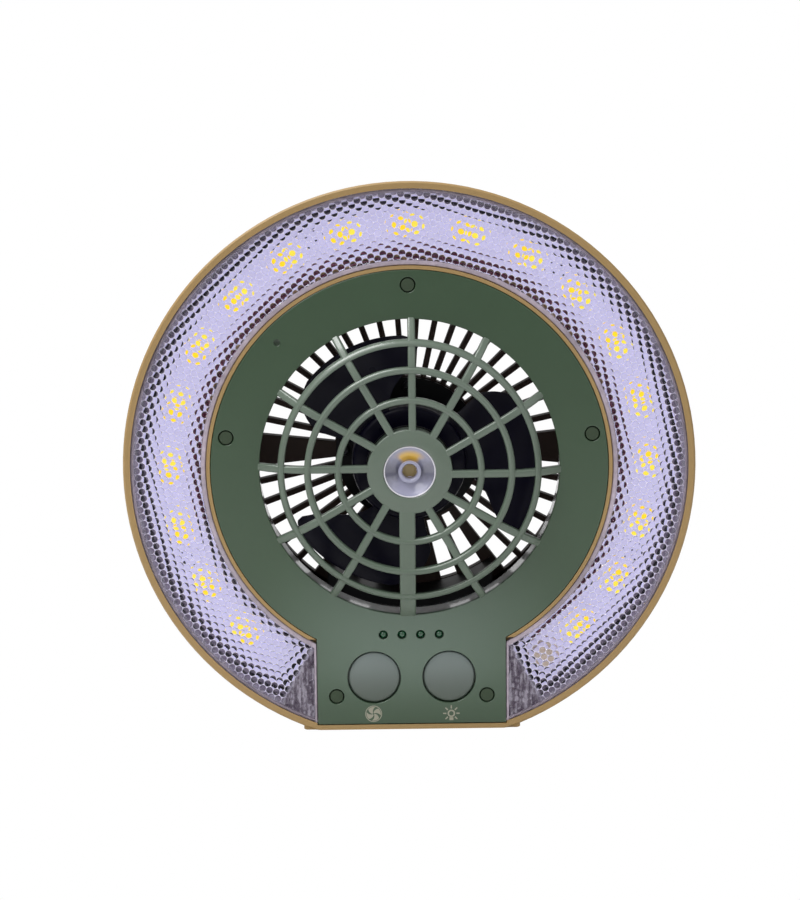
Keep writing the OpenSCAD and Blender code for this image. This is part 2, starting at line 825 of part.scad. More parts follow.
module impeller() {
    plate_h = hub_front_h - plate_t;
    color([0.05, 0.05, 0.06]) axial() {
        tube(impeller_hub_r, cup_r, hub_rear_h, plate_h);
        translate([0, 0, plate_h]) cylinder(r1 = impeller_hub_r, r2 = impeller_hub_r - 1.2, h = plate_t);
        tube(3, shaft_r, tube_top_h + 0.4, plate_h);
        for (i = [0 : blades - 1]) clock(first_blade + i * 360 / blades) blade();
    }
}

module motor_wires() {
    color([0.7, 0.1, 0.1]) axial() for (x = [-1, 1])
        rod([x * 1.2, 0.2 - disc_r, grille_front_h + 0.62], [x * 1.2 - 3, -51, grille_front_h + 0.62], 0.6);
}

// ---- battery ----

// Outline of the battery space: a box whose top follows the round fan opening
module tray_outline(inset) {
    intersection() {
        translate([inset - tray_half_w, tray_low_y + min(inset, 0.4)])
            square([2 * (tray_half_w - inset), 60]);
        difference() {
            circle(tray_case_r - inset * 0.6);
            circle(tray_r + inset);
            for (side = [-1, 1]) translate([side * (tray_neck + tray_half_w), tray_shoulder_y])
                square([2 * (tray_half_w + inset), 60 + 2 * inset], center = true);
        }
    }
}

module battery_tray() {
    front = split_h - 0.2;
    color([0.07, 0.07, 0.075]) axial() {
        slab(grille_front_h + 0.1, front - tray_t) difference() {
            tray_outline(0);
            tray_outline(tray_t);
        }
        slab(front - tray_t, front) difference() {
            tray_outline(0);
            translate([-20, -88]) square([40, 12]);
        }
    }
}

module battery_cells() {
    color([0.15, 0.30, 0.55]) axial() for (y = cell_ys)
        translate([-cell_len / 2, y, cell_h]) rotate([0, 90, 0]) cylinder(r = cell_r, h = cell_len);
}

module battery_tabs() {
    color([0.75, 0.75, 0.72]) axial() for (side = [-1, 1])
        translate([side > 0 ? cell_len / 2 : -cell_len / 2 - 0.3, cell_ys[0] - 3, cell_h - 3])
            cube([0.3, cell_ys[1] - cell_ys[0] + 6, 6]);
}

// ---- charging ports ----

module port_board() {
    color([0.08, 0.35, 0.18]) axial() difference() {
        translate([port_x - 8, -48, port_board_h]) cube([16, 34, 1.6]);
        for (p = port_pin_places) at(p, port_board_h - 1) cylinder(r = 0.85, h = 4, $fn = 32);
    }
}

module usb_c_socket() {
    color([0.70, 0.70, 0.72]) axial() translate([port_x, usb_c_y, -21.9]) {
        difference() {
            translate([-1.6, -4.5, 0]) cube([3.2, 9, 8.4]);
            translate([-1.3, -4.2, -1]) cube([2.6, 8.4, 8]);
        }
        translate([-0.35, -3.3, 0.6]) cube([0.7, 6.6, 6.5]);
    }
}

module usb_a_socket() {
    color([0.70, 0.70, 0.72]) axial() translate([port_x, usb_a_y, -21.9]) {
        difference() {
            translate([-2.9, -6.6, 0]) cube([5.8, 13.2, 8.4]);
            translate([-2.55, -6.25, -1]) cube([5.1, 12.5, 8]);
        }
        translate([-2.3, -5.6, 0.6]) cube([1.8, 11.2, 6.5]);
    }
}

module port_door() {
    color([0.70, 0.58, 0.37]) axial() {
        translate([door_x0, door_y0, rear_h - door_gap - door_t])
            cube([door_x1 - door_x0 + 0.4, door_y1 - door_y0, door_t]);
        translate([hinge_x, door_y0, hinge_h]) rotate([-90, 0, 0])
            cylinder(r = hinge_r, h = door_y1 - door_y0);
        translate([hinge_x, door_y0 - 2.6, hinge_h]) rotate([-90, 0, 0])
            cylinder(r = hinge_pin_r, h = door_y1 - door_y0 + 5.2);
        translate([door_x0 - 0.8, (door_y0 + door_y1) / 2 - 4, rear_h - door_gap - door_t])
            cube([1.2, 8, door_t]);
    }
}

// ---- wire stand, also a hanging loop ----

module bail() {
    color([0.20, 0.20, 0.21]) axial() {
        translate([0, bail_mid_y, bail_h]) rotate([0, 0, 180]) rotate_extrude(angle = 180)
            translate([leg_x, 0]) circle(wire_r, $fn = 48);
        for (side = [-1, 1]) {
            rod([side * leg_x, bail_mid_y, bail_h], [side * leg_x, pivot_rise, bail_h], wire_r);
            translate([side * leg_x, pivot_rise, bail_h]) sphere(wire_r, $fn = 48);
            rod([side * leg_x, pivot_rise, bail_h],
                [side * (cap_x - cap_w / 2), pivot_rise, bail_h], wire_r);
        }
    }
}

module bail_caps() {
    color([0.12, 0.12, 0.13]) axial() for (side = [-1, 1])
        translate([side * cap_x, pivot_rise, bail_h]) rotate([0, 90, 0]) difference() {
            cylinder(r = cap_r, h = cap_w, center = true);
            cylinder(r = wire_r, h = far, center = true);
        }
}

front_frame();
rear_cover();
front_panel();
lamp_lens();
lamp_board();
lamp_leds();
lamp_resistors();
lamp_connector();
lamp_wires();
spot_lens();
spot_led();
spot_board();
spot_cap();
spot_wires();
fan_button();
light_button();
fan_switch_stem();
light_switch_stem();
switch_bodies();
main_board();
board_parts();
board_screws();
charge_leds();
screw_plugs();
panel_screws();
case_screws();
duct_ring();
rear_grille();
grille_screws();
motor_base();
motor_screws();
motor_board();
stator_core();
stator_coils();
motor_bearings();
motor_shaft();
shaft_clip();
rotor_cup();
rotor_magnet();
impeller();
motor_wires();
battery_tray();
battery_cells();
battery_tabs();
port_board();
usb_c_socket();
usb_a_socket();
port_door();
bail();
bail_caps();
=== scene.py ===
"""Visual model of a portable camping fan with a ring lamp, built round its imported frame."""

import logging
import math
from contextlib import contextmanager
from dataclasses import dataclass
from enum import Enum
from functools import partialmethod
from itertools import groupby, product
from typing import Iterator, Sequence

import bmesh
import bpy
from mathutils import Matrix, Quaternion, Vector


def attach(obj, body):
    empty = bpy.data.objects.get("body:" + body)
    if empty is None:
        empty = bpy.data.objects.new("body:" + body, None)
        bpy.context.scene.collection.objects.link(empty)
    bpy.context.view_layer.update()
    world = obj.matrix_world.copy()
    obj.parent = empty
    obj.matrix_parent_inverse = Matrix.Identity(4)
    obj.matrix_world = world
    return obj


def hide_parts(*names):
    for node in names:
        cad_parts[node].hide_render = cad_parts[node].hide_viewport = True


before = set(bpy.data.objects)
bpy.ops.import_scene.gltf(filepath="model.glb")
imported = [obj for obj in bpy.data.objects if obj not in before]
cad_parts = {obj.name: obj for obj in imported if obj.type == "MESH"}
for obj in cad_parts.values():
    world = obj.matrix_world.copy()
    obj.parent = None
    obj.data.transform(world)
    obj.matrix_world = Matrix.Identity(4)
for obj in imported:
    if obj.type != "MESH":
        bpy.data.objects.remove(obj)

Mesh = bpy.types.Mesh
Colour = tuple[float, float, float]
Point = tuple[float, float]
Place = tuple[float, float, float]
Line = Sequence[Point]

LOG = logging.getLogger("camping_fan")
MM = 0.001
AXIS_HEIGHT = 98.6
FRONT = 24.0
TO_FRAME = (
    Matrix.Translation((0, 0, AXIS_HEIGHT * MM))
    @ Matrix.Rotation(math.radians(90), 4, "X")
    @ Matrix.Scale(MM, 4)
)
BUTTONS: tuple[Point, ...] = ((-13.9, -78.8), (13.9, -78.8))
PLUGS: tuple[Point, ...] = ((0.0, 67.4), (67.0, 12.0), (-67.0, 12.0), (27.9, -85.9), (-27.9, -85.9))
LENS_PITCH = 2.62
LENS_TURN = -17.0
TOUCHING = 0.002
POLE = 1e-6


class Body(Enum):
    """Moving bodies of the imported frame."""

    HOUSING = "housing"
    FAN_WHEEL = "fan_wheel"
    FAN_KEY = "fan_key"
    LIGHT_KEY = "light_key"
    STAND = "stand"
    DOOR = "door"


# ---------------------------------------------------------------- node graphs


class Value:
    """An output socket whose operators add Math nodes to its graph.

    The methods least and most hold it to a least or a greatest value.
    """

    def __init__(self, graph: "Graph", socket: bpy.types.NodeSocket) -> None:
        """Keep the graph and its output socket."""
        self.graph = graph
        self.socket = socket

    def call(self, operation: str, other: object = 0.0, swapped: bool = False) -> "Value":
        """Add one Math node.

        Args:
            operation: Name of the Math operation.
            other: Other operand, a Value or a number.
            swapped: Whether the other operand stands first.

        Returns:
            The node's result.
        """
        first, second = (other, self) if swapped else (self, other)
        return self.graph.node("ShaderNodeMath", {0: first, 1: second}, operation=operation)

    __add__ = partialmethod(call, "ADD")
    __sub__ = partialmethod(call, "SUBTRACT")
    __rsub__ = partialmethod(call, "SUBTRACT", swapped=True)
    __mul__ = partialmethod(call, "MULTIPLY")
    __truediv__ = partialmethod(call, "DIVIDE")
    __lt__ = partialmethod(call, "LESS_THAN")
    __gt__ = partialmethod(call, "GREATER_THAN")
    __abs__ = partialmethod(call, "ABSOLUTE")
    least = partialmethod(call, "MAXIMUM")
    most = partialmethod(call, "MINIMUM")

    def smooth(self, low: float, high: float) -> "Value":
        """Return a smooth step from 0 at low to 1 at high."""
        sockets = {"Value": self, "From Min": low, "From Max": high}
        return self.graph.node("ShaderNodeMapRange", sockets, interpolation_type="SMOOTHSTEP")

    def fade(self, low: float, high: float) -> "Value":
        """Return a smooth step from 1 at low to 0 at high."""
        return 1.0 - self.smooth(low, high)


def length(x: Value, y: Value) -> Value:
    """Return the length of the vector with the parts x and y."""
    return (x * x + y * y).call("SQRT")


class Graph:
    """A node tree with one call that adds any node."""

    def __init__(self, tree: bpy.types.NodeTree) -> None:
        """Keep the shader or geometry node tree."""
        self.tree = tree

    @classmethod
    def blank(cls, owner: bpy.types.Material | bpy.types.World) -> "Graph":
        """Return the emptied node tree of a material or world."""
        owner.use_nodes = True
        owner.node_tree.nodes.clear()
        return cls(owner.node_tree)

    def raw(self, kind: str, inputs: dict | None = None, **settings: object) -> bpy.types.Node:
        """Add a node, set its settings first and then its sockets.

        Args:
            kind: Node type.
            inputs: Socket names or numbers with Values or constants.
            settings: Node properties.

        Returns:
            The node.
        """
        node = self.tree.nodes.new(kind)
        for name, value in settings.items():
            setattr(node, name, value)
        for name, value in (inputs or {}).items():
            socket = node.inputs[name]
            if isinstance(value, Value):
                self.tree.links.new(value.socket, socket)
            elif isinstance(value, tuple) and len(value) == 3 and socket.type == "RGBA":
                socket.default_value = (*value, 1.0)
            else:
                socket.default_value = value
        return node

    def node(
        self, kind: str, inputs: dict | None = None, out: int | str = 0, **settings: object
    ) -> Value:
        """Add a node as raw does, and wrap the output of a name or number."""
        return Value(self, self.raw(kind, inputs, **settings).outputs[out])

    def mix(self, factor: Value, low: object, high: object) -> Value:
        """Mix two colours, low where the factor is 0 and high where it is 1."""
        share, first, second, result = 0, 6, 7, 2
        sockets = {share: factor, first: low, second: high}
        return self.node("ShaderNodeMix", sockets, result, data_type="RGBA")

    def blend(self, factor: Value, first: Value, second: Value) -> Value:
        """Mix two shaders, the second one where the factor is 1."""
        return self.node("ShaderNodeMixShader", {0: factor, 1: first, 2: second})

    def vector(self, x: object = 0.0, y: object = 0.0, z: object = 0.0) -> Value:
        """Return the vector with the given parts."""
        return self.node("ShaderNodeCombineXYZ", {"X": x, "Y": y, "Z": z})

    def parts(self, vector: Value) -> tuple[Value, ...]:
        """Return the three parts of a vector."""
        split = self.raw("ShaderNodeSeparateXYZ", {0: vector})
        return tuple(Value(self, out) for out in split.outputs)


# ---------------------------------------------------------------- finishes


@dataclass(frozen=True)
class Finish:
    """Base of every finish: one colour, one roughness and a fine texture.

    Attributes:
        name: Material name.
        colour: Base colour in linear values.
        roughness: Mean roughness.
        grain: Size of the texture's cells in millimetres.
        relief: Height of the texture in millimetres.
        mottle: Strength of slow colour variation.
        shine: Strength of the surface reflection, 0.5 for most plastics.
    """

    name: str
    colour: Colour
    roughness: float = 0.5
    grain: float = 0.6
    relief: float = 0.02
    mottle: float = 0.06
    shine: float = 0.5

    def scaled(self, share: float) -> Colour:
        """Return the base colour at a share of its strength, none over 1."""
        return tuple(min(1.0, c * share) for c in self.colour)

    def coordinates(self, graph: Graph) -> Value:
        """Return object coordinates in metres."""
        return graph.node("ShaderNodeTexCoord", out="Object")

    def about_axis(self, graph: Graph) -> tuple[Value, Value, Value, Value]:
        """Return the place about the fan's axis, in millimetres.

        Args:
            graph: Material graph.

        Returns:
            Place to the right, upwards and to the front, and the distance from the axis.
        """
        x, y, z = (part * (1.0 / MM) for part in graph.parts(self.coordinates(graph)))
        up = z - AXIS_HEIGHT
        return x, up, 0.0 - y, length(x, up)

    def noise(self, graph: Graph, where: Value, size: float, detail: float = 2.0) -> Value:
        """Return noise from 0 to 1 with cells of a size in millimetres."""
        sockets = {"Vector": where, "Scale": 1.0 / (size * MM), "Detail": detail}
        return graph.node("ShaderNodeTexNoise", sockets)

    def stretched(self, graph: Graph, where: Value, scale: Place) -> Value:
        """Return coordinates scaled along each axis, for marks that run one way."""
        return graph.node("ShaderNodeMapping", {"Vector": where, "Scale": scale})

    def tone(self, graph: Graph, where: Value) -> Value:
        """Return the base colour with slow and fine variation.

        Args:
            graph: Material graph.
            where: Coordinates in metres.

        Returns:
            Colour over the surface.
        """
        patch, fleck, share, swing = 24.0, 2.2, 0.6, 1.6 * self.mottle
        cloud = self.noise(graph, where, patch) * share
        cloud += self.noise(graph, where, fleck, 3.0) * (1.0 - share)
        return graph.mix(cloud, self.scaled(1 - swing), self.scaled(1 + swing))

    def normal(self, graph: Graph, where: Value) -> Value:
        """Return the normal of the fine texture."""
        height = self.noise(graph, where, self.grain)
        sockets = {"Strength": 0.6, "Distance": self.relief * MM, "Height": height}
        return graph.node("ShaderNodeBump", sockets)

    def surface(self, graph: Graph) -> dict:
        """Return the Principled sockets of this finish.

        Args:
            graph: Material graph.

        Returns:
            Socket names with values or links.
        """
        where = self.coordinates(graph)
        smears, swing = self.noise(graph, where, 9.0), 0.12
        return {
            "Base Color": self.tone(graph, where),
            "Roughness": smears * swing + (self.roughness - swing / 2),
            "Normal": self.normal(graph, where),
            "Specular IOR Level": self.shine,
        }

    def shader(self, graph: Graph) -> Value:
        """Return the shader of the surface."""
        return graph.node("ShaderNodeBsdfPrincipled", self.surface(graph), "BSDF")

    def material(self) -> bpy.types.Material:
        """Build the material, or return it where it is built already.

        Returns:
            The material of this finish.
        """
        label = self.name + "_finish"
        known = bpy.data.materials.get(label)
        if known:
            return known
        made = bpy.data.materials.new(label)
        made.diffuse_color = (*self.colour, 1.0)
        graph = Graph.blank(made)
        graph.raw("ShaderNodeOutputMaterial", {"Surface": self.shader(graph)})
        return made


@dataclass(frozen=True)
class Moulded(Finish):
    """Matt or satin moulded plastic."""


@dataclass(frozen=True)
class Shell(Finish):
    """Case plastic whose lamp channel holds painted shade, dark on its floor and paler up its walls.

    Attributes:
        channel: Colour of the painted shade on the channel's floor.
        flank: Colour of the painted shade on the channel's walls.
        shaded_radii: Least and greatest radius of the painted shade.
        depth: Least and greatest height of the painted shade.
        outer_wall: Radii over which the floor turns into the outer wall.
        inner_wall: Radii over which the inner wall turns into the floor.
        inner_share: Strength of the inner wall's colour.
        seam: Height of the joint between the two shells.
        joint: Distances over which the joint's shade fades out.
        shade: Strength of the joint's shade, and its brightness.
    """

    channel: Colour = (0.010, 0.008, 0.014)
    flank: Colour = (0.33, 0.29, 0.36)
    shaded_radii: Point = (74.7, 102.3)
    depth: Point = (9.0, 23.3)
    outer_wall: Point = (98.4, 101.2)
    inner_wall: Point = (75.4, 78.6)
    inner_share: float = 0.6
    seam: float = 2.0
    joint: Point = (0.10, 0.22)
    shade: Point = (0.85, 0.22)

    def surface(self, graph: Graph) -> dict:
        """Return the Principled sockets, with painted shade in the lamp channel.

        Args:
            graph: Material graph.

        Returns:
            Socket names with values or links.
        """
        sockets = super().surface(graph)
        _, _, high, radius = self.about_axis(graph)
        # Painted shade: the lamp channel is coloured dark where shade falls in it.
        inside = (radius < self.shaded_radii[1]) * (radius > self.shaded_radii[0])
        deep = (high < self.depth[1]) * (high > self.depth[0])
        walls = radius.smooth(*self.outer_wall) + radius.fade(*self.inner_wall) * self.inner_share
        painted_shade = graph.mix(walls, self.channel, self.flank)
        strength, brightness = self.shade
        groove = abs(high - self.seam).fade(*self.joint) * strength
        skin = graph.mix(groove, sockets["Base Color"], self.scaled(brightness))
        sockets["Base Color"] = graph.mix(inside * deep, skin, painted_shade)
        return sockets


@dataclass(frozen=True)
class Gloss(Finish):
    """Glossy plastic or solder mask under a thin clear skin.

    Attributes:
        coat: Weight of the clear skin.
    """

    coat: float = 0.4

    def surface(self, graph: Graph) -> dict:
        """Return the Principled sockets with a clear skin."""
        return {**super().surface(graph), "Coat Weight": self.coat, "Coat Roughness": 0.08}


@dataclass(frozen=True)
class Panel(Gloss):
    """Panel plastic with a painted reflection that pales it towards the middle of its foot.

    Attributes:
        glare: Colour of the painted reflection, added where the panel is palest.
        centre: Height of the palest place over the fan's axis.
        near: Distance up to which the tone is palest.
        reach: Distance at which the paler tone has faded out.
        width: Weight of the sideways distance.
        edge: Heights over which the tone sets in above the lower edge.
    """

    glare: Colour = (0.058, 0.070, 0.068)
    centre: float = -66.0
    near: float = 4.0
    reach: float = 54.0
    width: float = 0.6
    edge: Point = (-98.0, -72.0)

    def tone(self, graph: Graph, where: Value) -> Value:
        """Return the base colour, paler round the palest place under a painted reflection.

        Args:
            graph: Material graph.
            where: Coordinates in metres.

        Returns:
            Colour over the surface.
        """
        x, up, _, _ = self.about_axis(graph)
        rise = up - self.centre
        far = (x * x * self.width + rise * rise).call("SQRT")
        share = far.fade(self.near, self.reach) * up.smooth(*self.edge)
        # Painted reflection: the glare colour is added round the palest place.
        pale = tuple(c + g for c, g in zip(self.colour, self.glare))
        return graph.mix(share, super().tone(graph, where), pale)


@dataclass(frozen=True)
class Reflector(Gloss):
    """Silvered cone of the spot lamp, with painted shade at both sides and a painted reflection of its
    chip's glow on top.

    Attributes:
        glow: Colour of the chip's painted reflection.
        start: Radii over which the cone begins.
        end: Radii over which it ends.
        flank: Steepness over which the painted shade of the sides fades to the top and bottom.
        shade: Brightness of the painted shade at the sides.
        crown: Steepness over which the painted reflection sets in.
        glow_end: Radii over which the painted reflection ends.
        waves: Size of the ripples in millimetres.
    """

    glow: Colour = (0.62, 0.38, 0.05)
    start: Point = (3.9, 4.4)
    end: Point = (8.9, 9.3)
    flank: Point = (0.1, 0.95)
    shade: float = 0.42
    crown: Point = (0.62, 0.9)
    glow_end: Point = (6.2, 8.6)
    waves: float = 2.6

    def tone(self, graph: Graph, where: Value) -> Value:
        """Return the cone's colour, with painted shade at both sides and a warm painted reflection on
        top.

        Args:
            graph: Material graph.
            where: Coordinates in metres.

        Returns:
            Colour over the surface.
        """
        _, up, _, radius = self.about_axis(graph)
        along = up / radius.least(0.01)
        ripple = self.noise(graph, where, self.waves) * 0.5 - 0.25
        inside = radius.smooth(*self.start) * radius.fade(*self.end)
        # Painted shade at both sides of the cone.
        side = abs(along + ripple).fade(*self.flank) * inside
        cone = graph.mix(side, super().tone(graph, where), self.scaled(self.shade))
        # Painted reflection of the chip, warm on top of the cone.
        warm = (along + ripple * 0.6).smooth(*self.crown) * inside * radius.fade(*self.glow_end)
        return graph.mix(warm, cone, self.glow)


@dataclass(frozen=True)
class Metal(Finish):
    """Bare or plated metal with fine brushing along one direction.

    Attributes:
        metallic: Metallic share.
        stretch: How much longer than wide the brushing marks are.
    """

    metallic: float = 1.0
    stretch: float = 12.0

    def normal(self, graph: Graph, where: Value) -> Value:
        """Return the normal of the brushing marks."""
        return super().normal(graph, self.stretched(graph, where, (1.0, 1.0 / self.stretch, 1.0)))

    def surface(self, graph: Graph) -> dict:
        """Return the Principled sockets of the metal."""
        return {**super().surface(graph), "Metallic": self.metallic}


@dataclass(frozen=True)
class Clear(Finish):
    """Clear moulded plastic that refracts what is behind it.

    Attributes:
        ior: Refractive index.
        sheen: Share of the plain surface reflection that is left.
    """

    ior: float = 1.6
    sheen: float = 0.10

    def surface(self, graph: Graph) -> dict:
        """Return the Principled sockets of clear plastic.

        Args:
            graph: Material graph.

        Returns:
            Socket names with values or links.
        """
        where = self.coordinates(graph)
        return {
            "Base Color": self.tone(graph, where),
            "Roughness": self.noise(graph, where, 6.0) * 0.02 + self.roughness,
            "IOR": self.ior,
            "Specular Tint": (self.sheen, self.sheen, self.sheen),
            "Transmission Weight": 1.0,
        }


@dataclass(frozen=True)
class Honeycomb(Clear):
    """Clear plastic whose rear is a field of small lenses; their borders are painted highlights that
    glow, and glowing streaks of painted light and shade lie at the lower ends and the outer edge.

    Attributes:
        border: Colour of the borders, a painted highlight.
        glow: Colour of the painted glow of the borders next to the board.
        clear: Distances from a lens's middle, in pitches, over which a border sets in.
        front: Height below which the borders lie.
        outer_dim: Radii over which the borders dim towards the outer edge.
        inner_dim: Radii over which they are dimmed from the inner edge.
        dimming: Weight of that dimming, and of the patchy noise in it.
        glow_patch: Size of the patches of that noise in millimetres.
        light: Strength of the painted glow of the borders and streaks.
        streak_slope: Slope of the lines from the axis that bound the streaked ends.
        soft: Half the width over which the streaks begin there.
        outer_streaks: Radii over which streaks set in at the outer edge.
        outer_streak_share: Strength of the streaks there.
        cover: Share of a small lens that streaks cover.
        streak_size: Size of the streak marks in millimetres, and their detail.
        streak: Stretch of the marks.
        streak_levels: Noise values between which the marks turn from dark to light.
        painted_streak_dark: Dark tone of the streaks, a painted shade that glows.
        painted_streak_pale: Light tone of the streaks, a painted highlight that glows.
        streak_base: Base colour of streaked borders.
    """

    border: Colour = (0.44, 0.41, 0.51)
    glow: Colour = (0.84, 0.82, 1.0)
    clear: Point = (0.43, 0.50)
    front: float = 23.2
    outer_dim: Point = (97.2, 101.0)
    inner_dim: Point = (77.0, 80.0)
    dimming: Point = (0.7, 0.35)
    glow_patch: float = 1.6
    light: float = 0.5
    streak_slope: float = 0.5475
    soft: float = 1.2
    outer_streaks: Point = (99.4, 101.0)
    outer_streak_share: float = 0.55
    cover: float = 0.94
    streak_size: Point = (1.1, 5.0)
    streak: Place = (1.0, 1.0, 0.16)
    streak_levels: Point = (0.42, 0.66)
    painted_streak_dark: Colour = (0.05, 0.035, 0.055)
    painted_streak_pale: Colour = (0.50, 0.47, 0.54)
    streak_base: Colour = (0.10, 0.085, 0.11)

    def nearest(self, u: Value, v: Value, shift: float) -> Value:
        """Return the squared distance to the nearest point of a square lattice.

        Args:
            u: Place along the rows, in pitches.
            v: Place across the rows, in pitches.
            shift: Share of the lattice's steps by which it is moved.

        Returns:
            Squared distance in pitches.
        """
        rise = math.sqrt(3)
        across = (u + (0.5 - shift)).call("FLOORED_MODULO", 1.0) - 0.5
        along = (v + (0.5 - shift) * rise).call("FLOORED_MODULO", rise) - rise / 2
        return across * across + along * along

    def borders(self, x: Value, up: Value) -> Value:
        """Return 1 on the borders between the small lenses and 0 inside them.

        Args:
            x: Place to the right of the axis in millimetres.
            up: Place above the axis in millimetres.

        Returns:
            Share of the border.
        """
        turn = math.radians(LENS_TURN)
        u = (x * math.cos(turn) + up * math.sin(turn)) / LENS_PITCH
        v = (up * math.cos(turn) - x * math.sin(turn)) / LENS_PITCH
        away = self.nearest(u, v, 0.0).most(self.nearest(u, v, 0.5)).call("SQRT")
        return away.smooth(*self.clear)

    def shader(self, graph: Graph) -> Value:
        """Return clear plastic with painted highlights on the borders of its rear side and painted
        streaks at its ends.

        Args:
            graph: Material graph.

        Returns:
            Shader output.
        """
        x, up, high, radius = self.about_axis(graph)
        where = self.coordinates(graph)
        # The borders glow as painted highlights, dimmed towards the edges.
        dim = radius.smooth(*self.outer_dim).least(radius.fade(*self.inner_dim))
        dim = dim * self.dimming[0] + self.noise(graph, where, self.glow_patch) * self.dimming[1]
        # Painted streaks of light and shade at the lower ends and the outer edge.
        streaked = (abs(x) + up * self.streak_slope).fade(-self.soft, self.soft)
        streaked = streaked.least(radius.smooth(*self.outer_streaks) * self.outer_streak_share)
        line = self.noise(graph, self.stretched(graph, where, self.streak), *self.streak_size)
        marks = graph.mix(line.smooth(*self.streak_levels), self.painted_streak_dark, self.painted_streak_pale)
        sockets = {
            "Base Color": graph.mix(streaked, self.border, self.streak_base),
            "Roughness": 0.35,
            "Emission Color": graph.mix(streaked, graph.mix(dim, self.glow, self.border), marks),
            "Emission Strength": self.light,
        }
        pale = graph.node("ShaderNodeBsdfPrincipled", sockets, "BSDF")
        share = self.borders(x, up).least(streaked * self.cover) * (high < self.front)
        return graph.blend(share, super().shader(graph), pale)


@dataclass(frozen=True)
class Lit(Finish):
    """Pale surface with a weak painted glow, such as phosphor or a board next to it.

    Attributes:
        glow: Strength of the painted glow.
    """

    glow: float = 0.3

    def surface(self, graph: Graph) -> dict:
        """Return the Principled sockets with a weak painted glow."""
        sockets = super().surface(graph)
        return {**sockets, "Emission Color": sockets["Base Color"], "Emission Strength": self.glow}


# The tan shell carries painted shade in its lamp channel.
TAN = Shell("tan_shell", (0.305, 0.196, 0.074), 0.52, 0.5, 0.025, 0.05)
# The green panel's foot pales under a painted reflection.
GREEN = Panel("green_panel", (0.026, 0.057, 0.025), 0.40, 0.35, 0.012, 0.08, coat=0.35)
# The guard bars are the panel's green plastic painted lighter as painted light, with a painted
# reflection paling them round a place above the axis.
GUARD = Panel(
    "green_guard", (0.074, 0.106, 0.074), 0.34, 0.5, 0.030, 0.14,
    coat=0.4, glare=(0.034, 0.036, 0.036), centre=48.0, reach=110.0,
)
# Painted reflection pales each button towards its top.
BUTTON = Panel(
    "grey_button", (0.058, 0.076, 0.060), 0.34, 0.3, 0.005, 0.03,
    coat=0.25, glare=(0.080, 0.092, 0.100), reach=25.0, width=0.0,
)
PLUG = Moulded("plug_rubber", (0.020, 0.038, 0.015), 0.62, 0.3, 0.02, 0.08)
BLACK = Moulded("black_plastic", (0.003, 0.003, 0.004), 0.44, 0.5, 0.012, 0.10, 0.18)
WHEEL = Moulded("wheel_plastic", (0.0020, 0.0016, 0.0080), 0.30, 0.5, 0.008, 0.10, 0.14)
# The slats' dark brown is the tan plastic with painted shade, as the slats lie in shadow.
BROWN = Moulded("brown_grille", (0.040, 0.024, 0.019), 0.50, 0.6, 0.02, 0.15, 0.2)
# The duct's pale colour and its speckle are painted reflections on its glossy wall.
DUCT = Gloss("duct_gloss", (0.82, 0.82, 0.86), 0.22, 1.2, 0.04, 0.40, coat=1.0)
LENS = Honeycomb("clear_lens", (0.97, 0.965, 1.0), 0.015, 0.5, 0.0, 0.005)
# The spot cone holds painted shade at its sides and a painted reflection on top.
SPOT_LENS = Reflector("spot_clear", (0.28, 0.28, 0.39), 0.16, 0.5, 0.006, 0.06, coat=1.0)
# The rim's pale colour is a painted highlight on the clear lens's edge.
SPOT_RIM = Gloss("spot_rim", (0.66, 0.65, 0.70), 0.12, 0.5, 0.004, 0.02, coat=1.0)
EDGE = Gloss("lens_edge", (0.34, 0.285, 0.34), 0.30, 0.5, 0.05, 0.60, coat=0.5)
# The board and the chip phosphors glow as painted light.
BOARD = Lit("white_board", (0.66, 0.64, 0.90), 0.40, 0.4, 0.006, 0.02, glow=0.34)
WARM_LED = Lit("led_phosphor", (0.98, 0.62, 0.004), 0.45, 0.4, 0.004, 0.05, glow=0.74)
COOL_LED = Lit("led_phosphor_pale", (0.98, 0.74, 0.045), 0.45, 0.4, 0.004, 0.05, glow=0.66)
SPOT_LED = Lit("spot_phosphor", (0.34, 0.25, 0.10), 0.35, 0.4, 0.004, 0.10, glow=0.12)
CHIP = Moulded("chip_parts", (0.030, 0.030, 0.034), 0.45, 0.3, 0.01, 0.10)
CONNECTOR = Moulded("connector", (0.75, 0.62, 0.48), 0.50, 0.4, 0.01, 0.05)
RED_WIRE = Gloss("wire_red", (0.16, 0.030, 0.065), 0.40, 0.5, 0.008, 0.06, coat=0.2)
BLACK_WIRE = Gloss("wire_black", (0.018, 0.018, 0.020), 0.40, 0.5, 0.008, 0.10, coat=0.2)
PCB = Gloss("green_board", (0.010, 0.090, 0.030), 0.38, 0.8, 0.02, 0.12, coat=0.3)
ZINC = Metal("zinc_steel", (0.56, 0.56, 0.58), 0.32, 0.25, 0.01, 0.06)
DARK_SCREW = Metal("dark_screw", (0.035, 0.035, 0.040), 0.36, 0.25, 0.01, 0.06, metallic=0.6)
STEEL = Metal("motor_steel", (0.58, 0.58, 0.61), 0.28, 0.3, 0.008, 0.05)
COPPER = Metal("copper", (0.62, 0.26, 0.09), 0.34, 0.25, 0.03, 0.10)
MAGNET = Metal("magnet", (0.045, 0.045, 0.050), 0.55, 0.3, 0.02, 0.08, metallic=0.4)
CELL = Gloss("cell_wrap", (0.02, 0.09, 0.28), 0.35, 0.7, 0.01, 0.05, coat=0.5)
NICKEL = Metal("nickel", (0.62, 0.61, 0.57), 0.30, 0.3, 0.008, 0.05)
STAND = Metal("stand_wire", (0.035, 0.035, 0.038), 0.48, 0.35, 0.03, 0.08, metallic=0.0, stretch=1.0)
INDICATOR = Gloss("green_led", (0.004, 0.060, 0.022), 0.15, 0.5, 0.0, 0.05, coat=1.0)
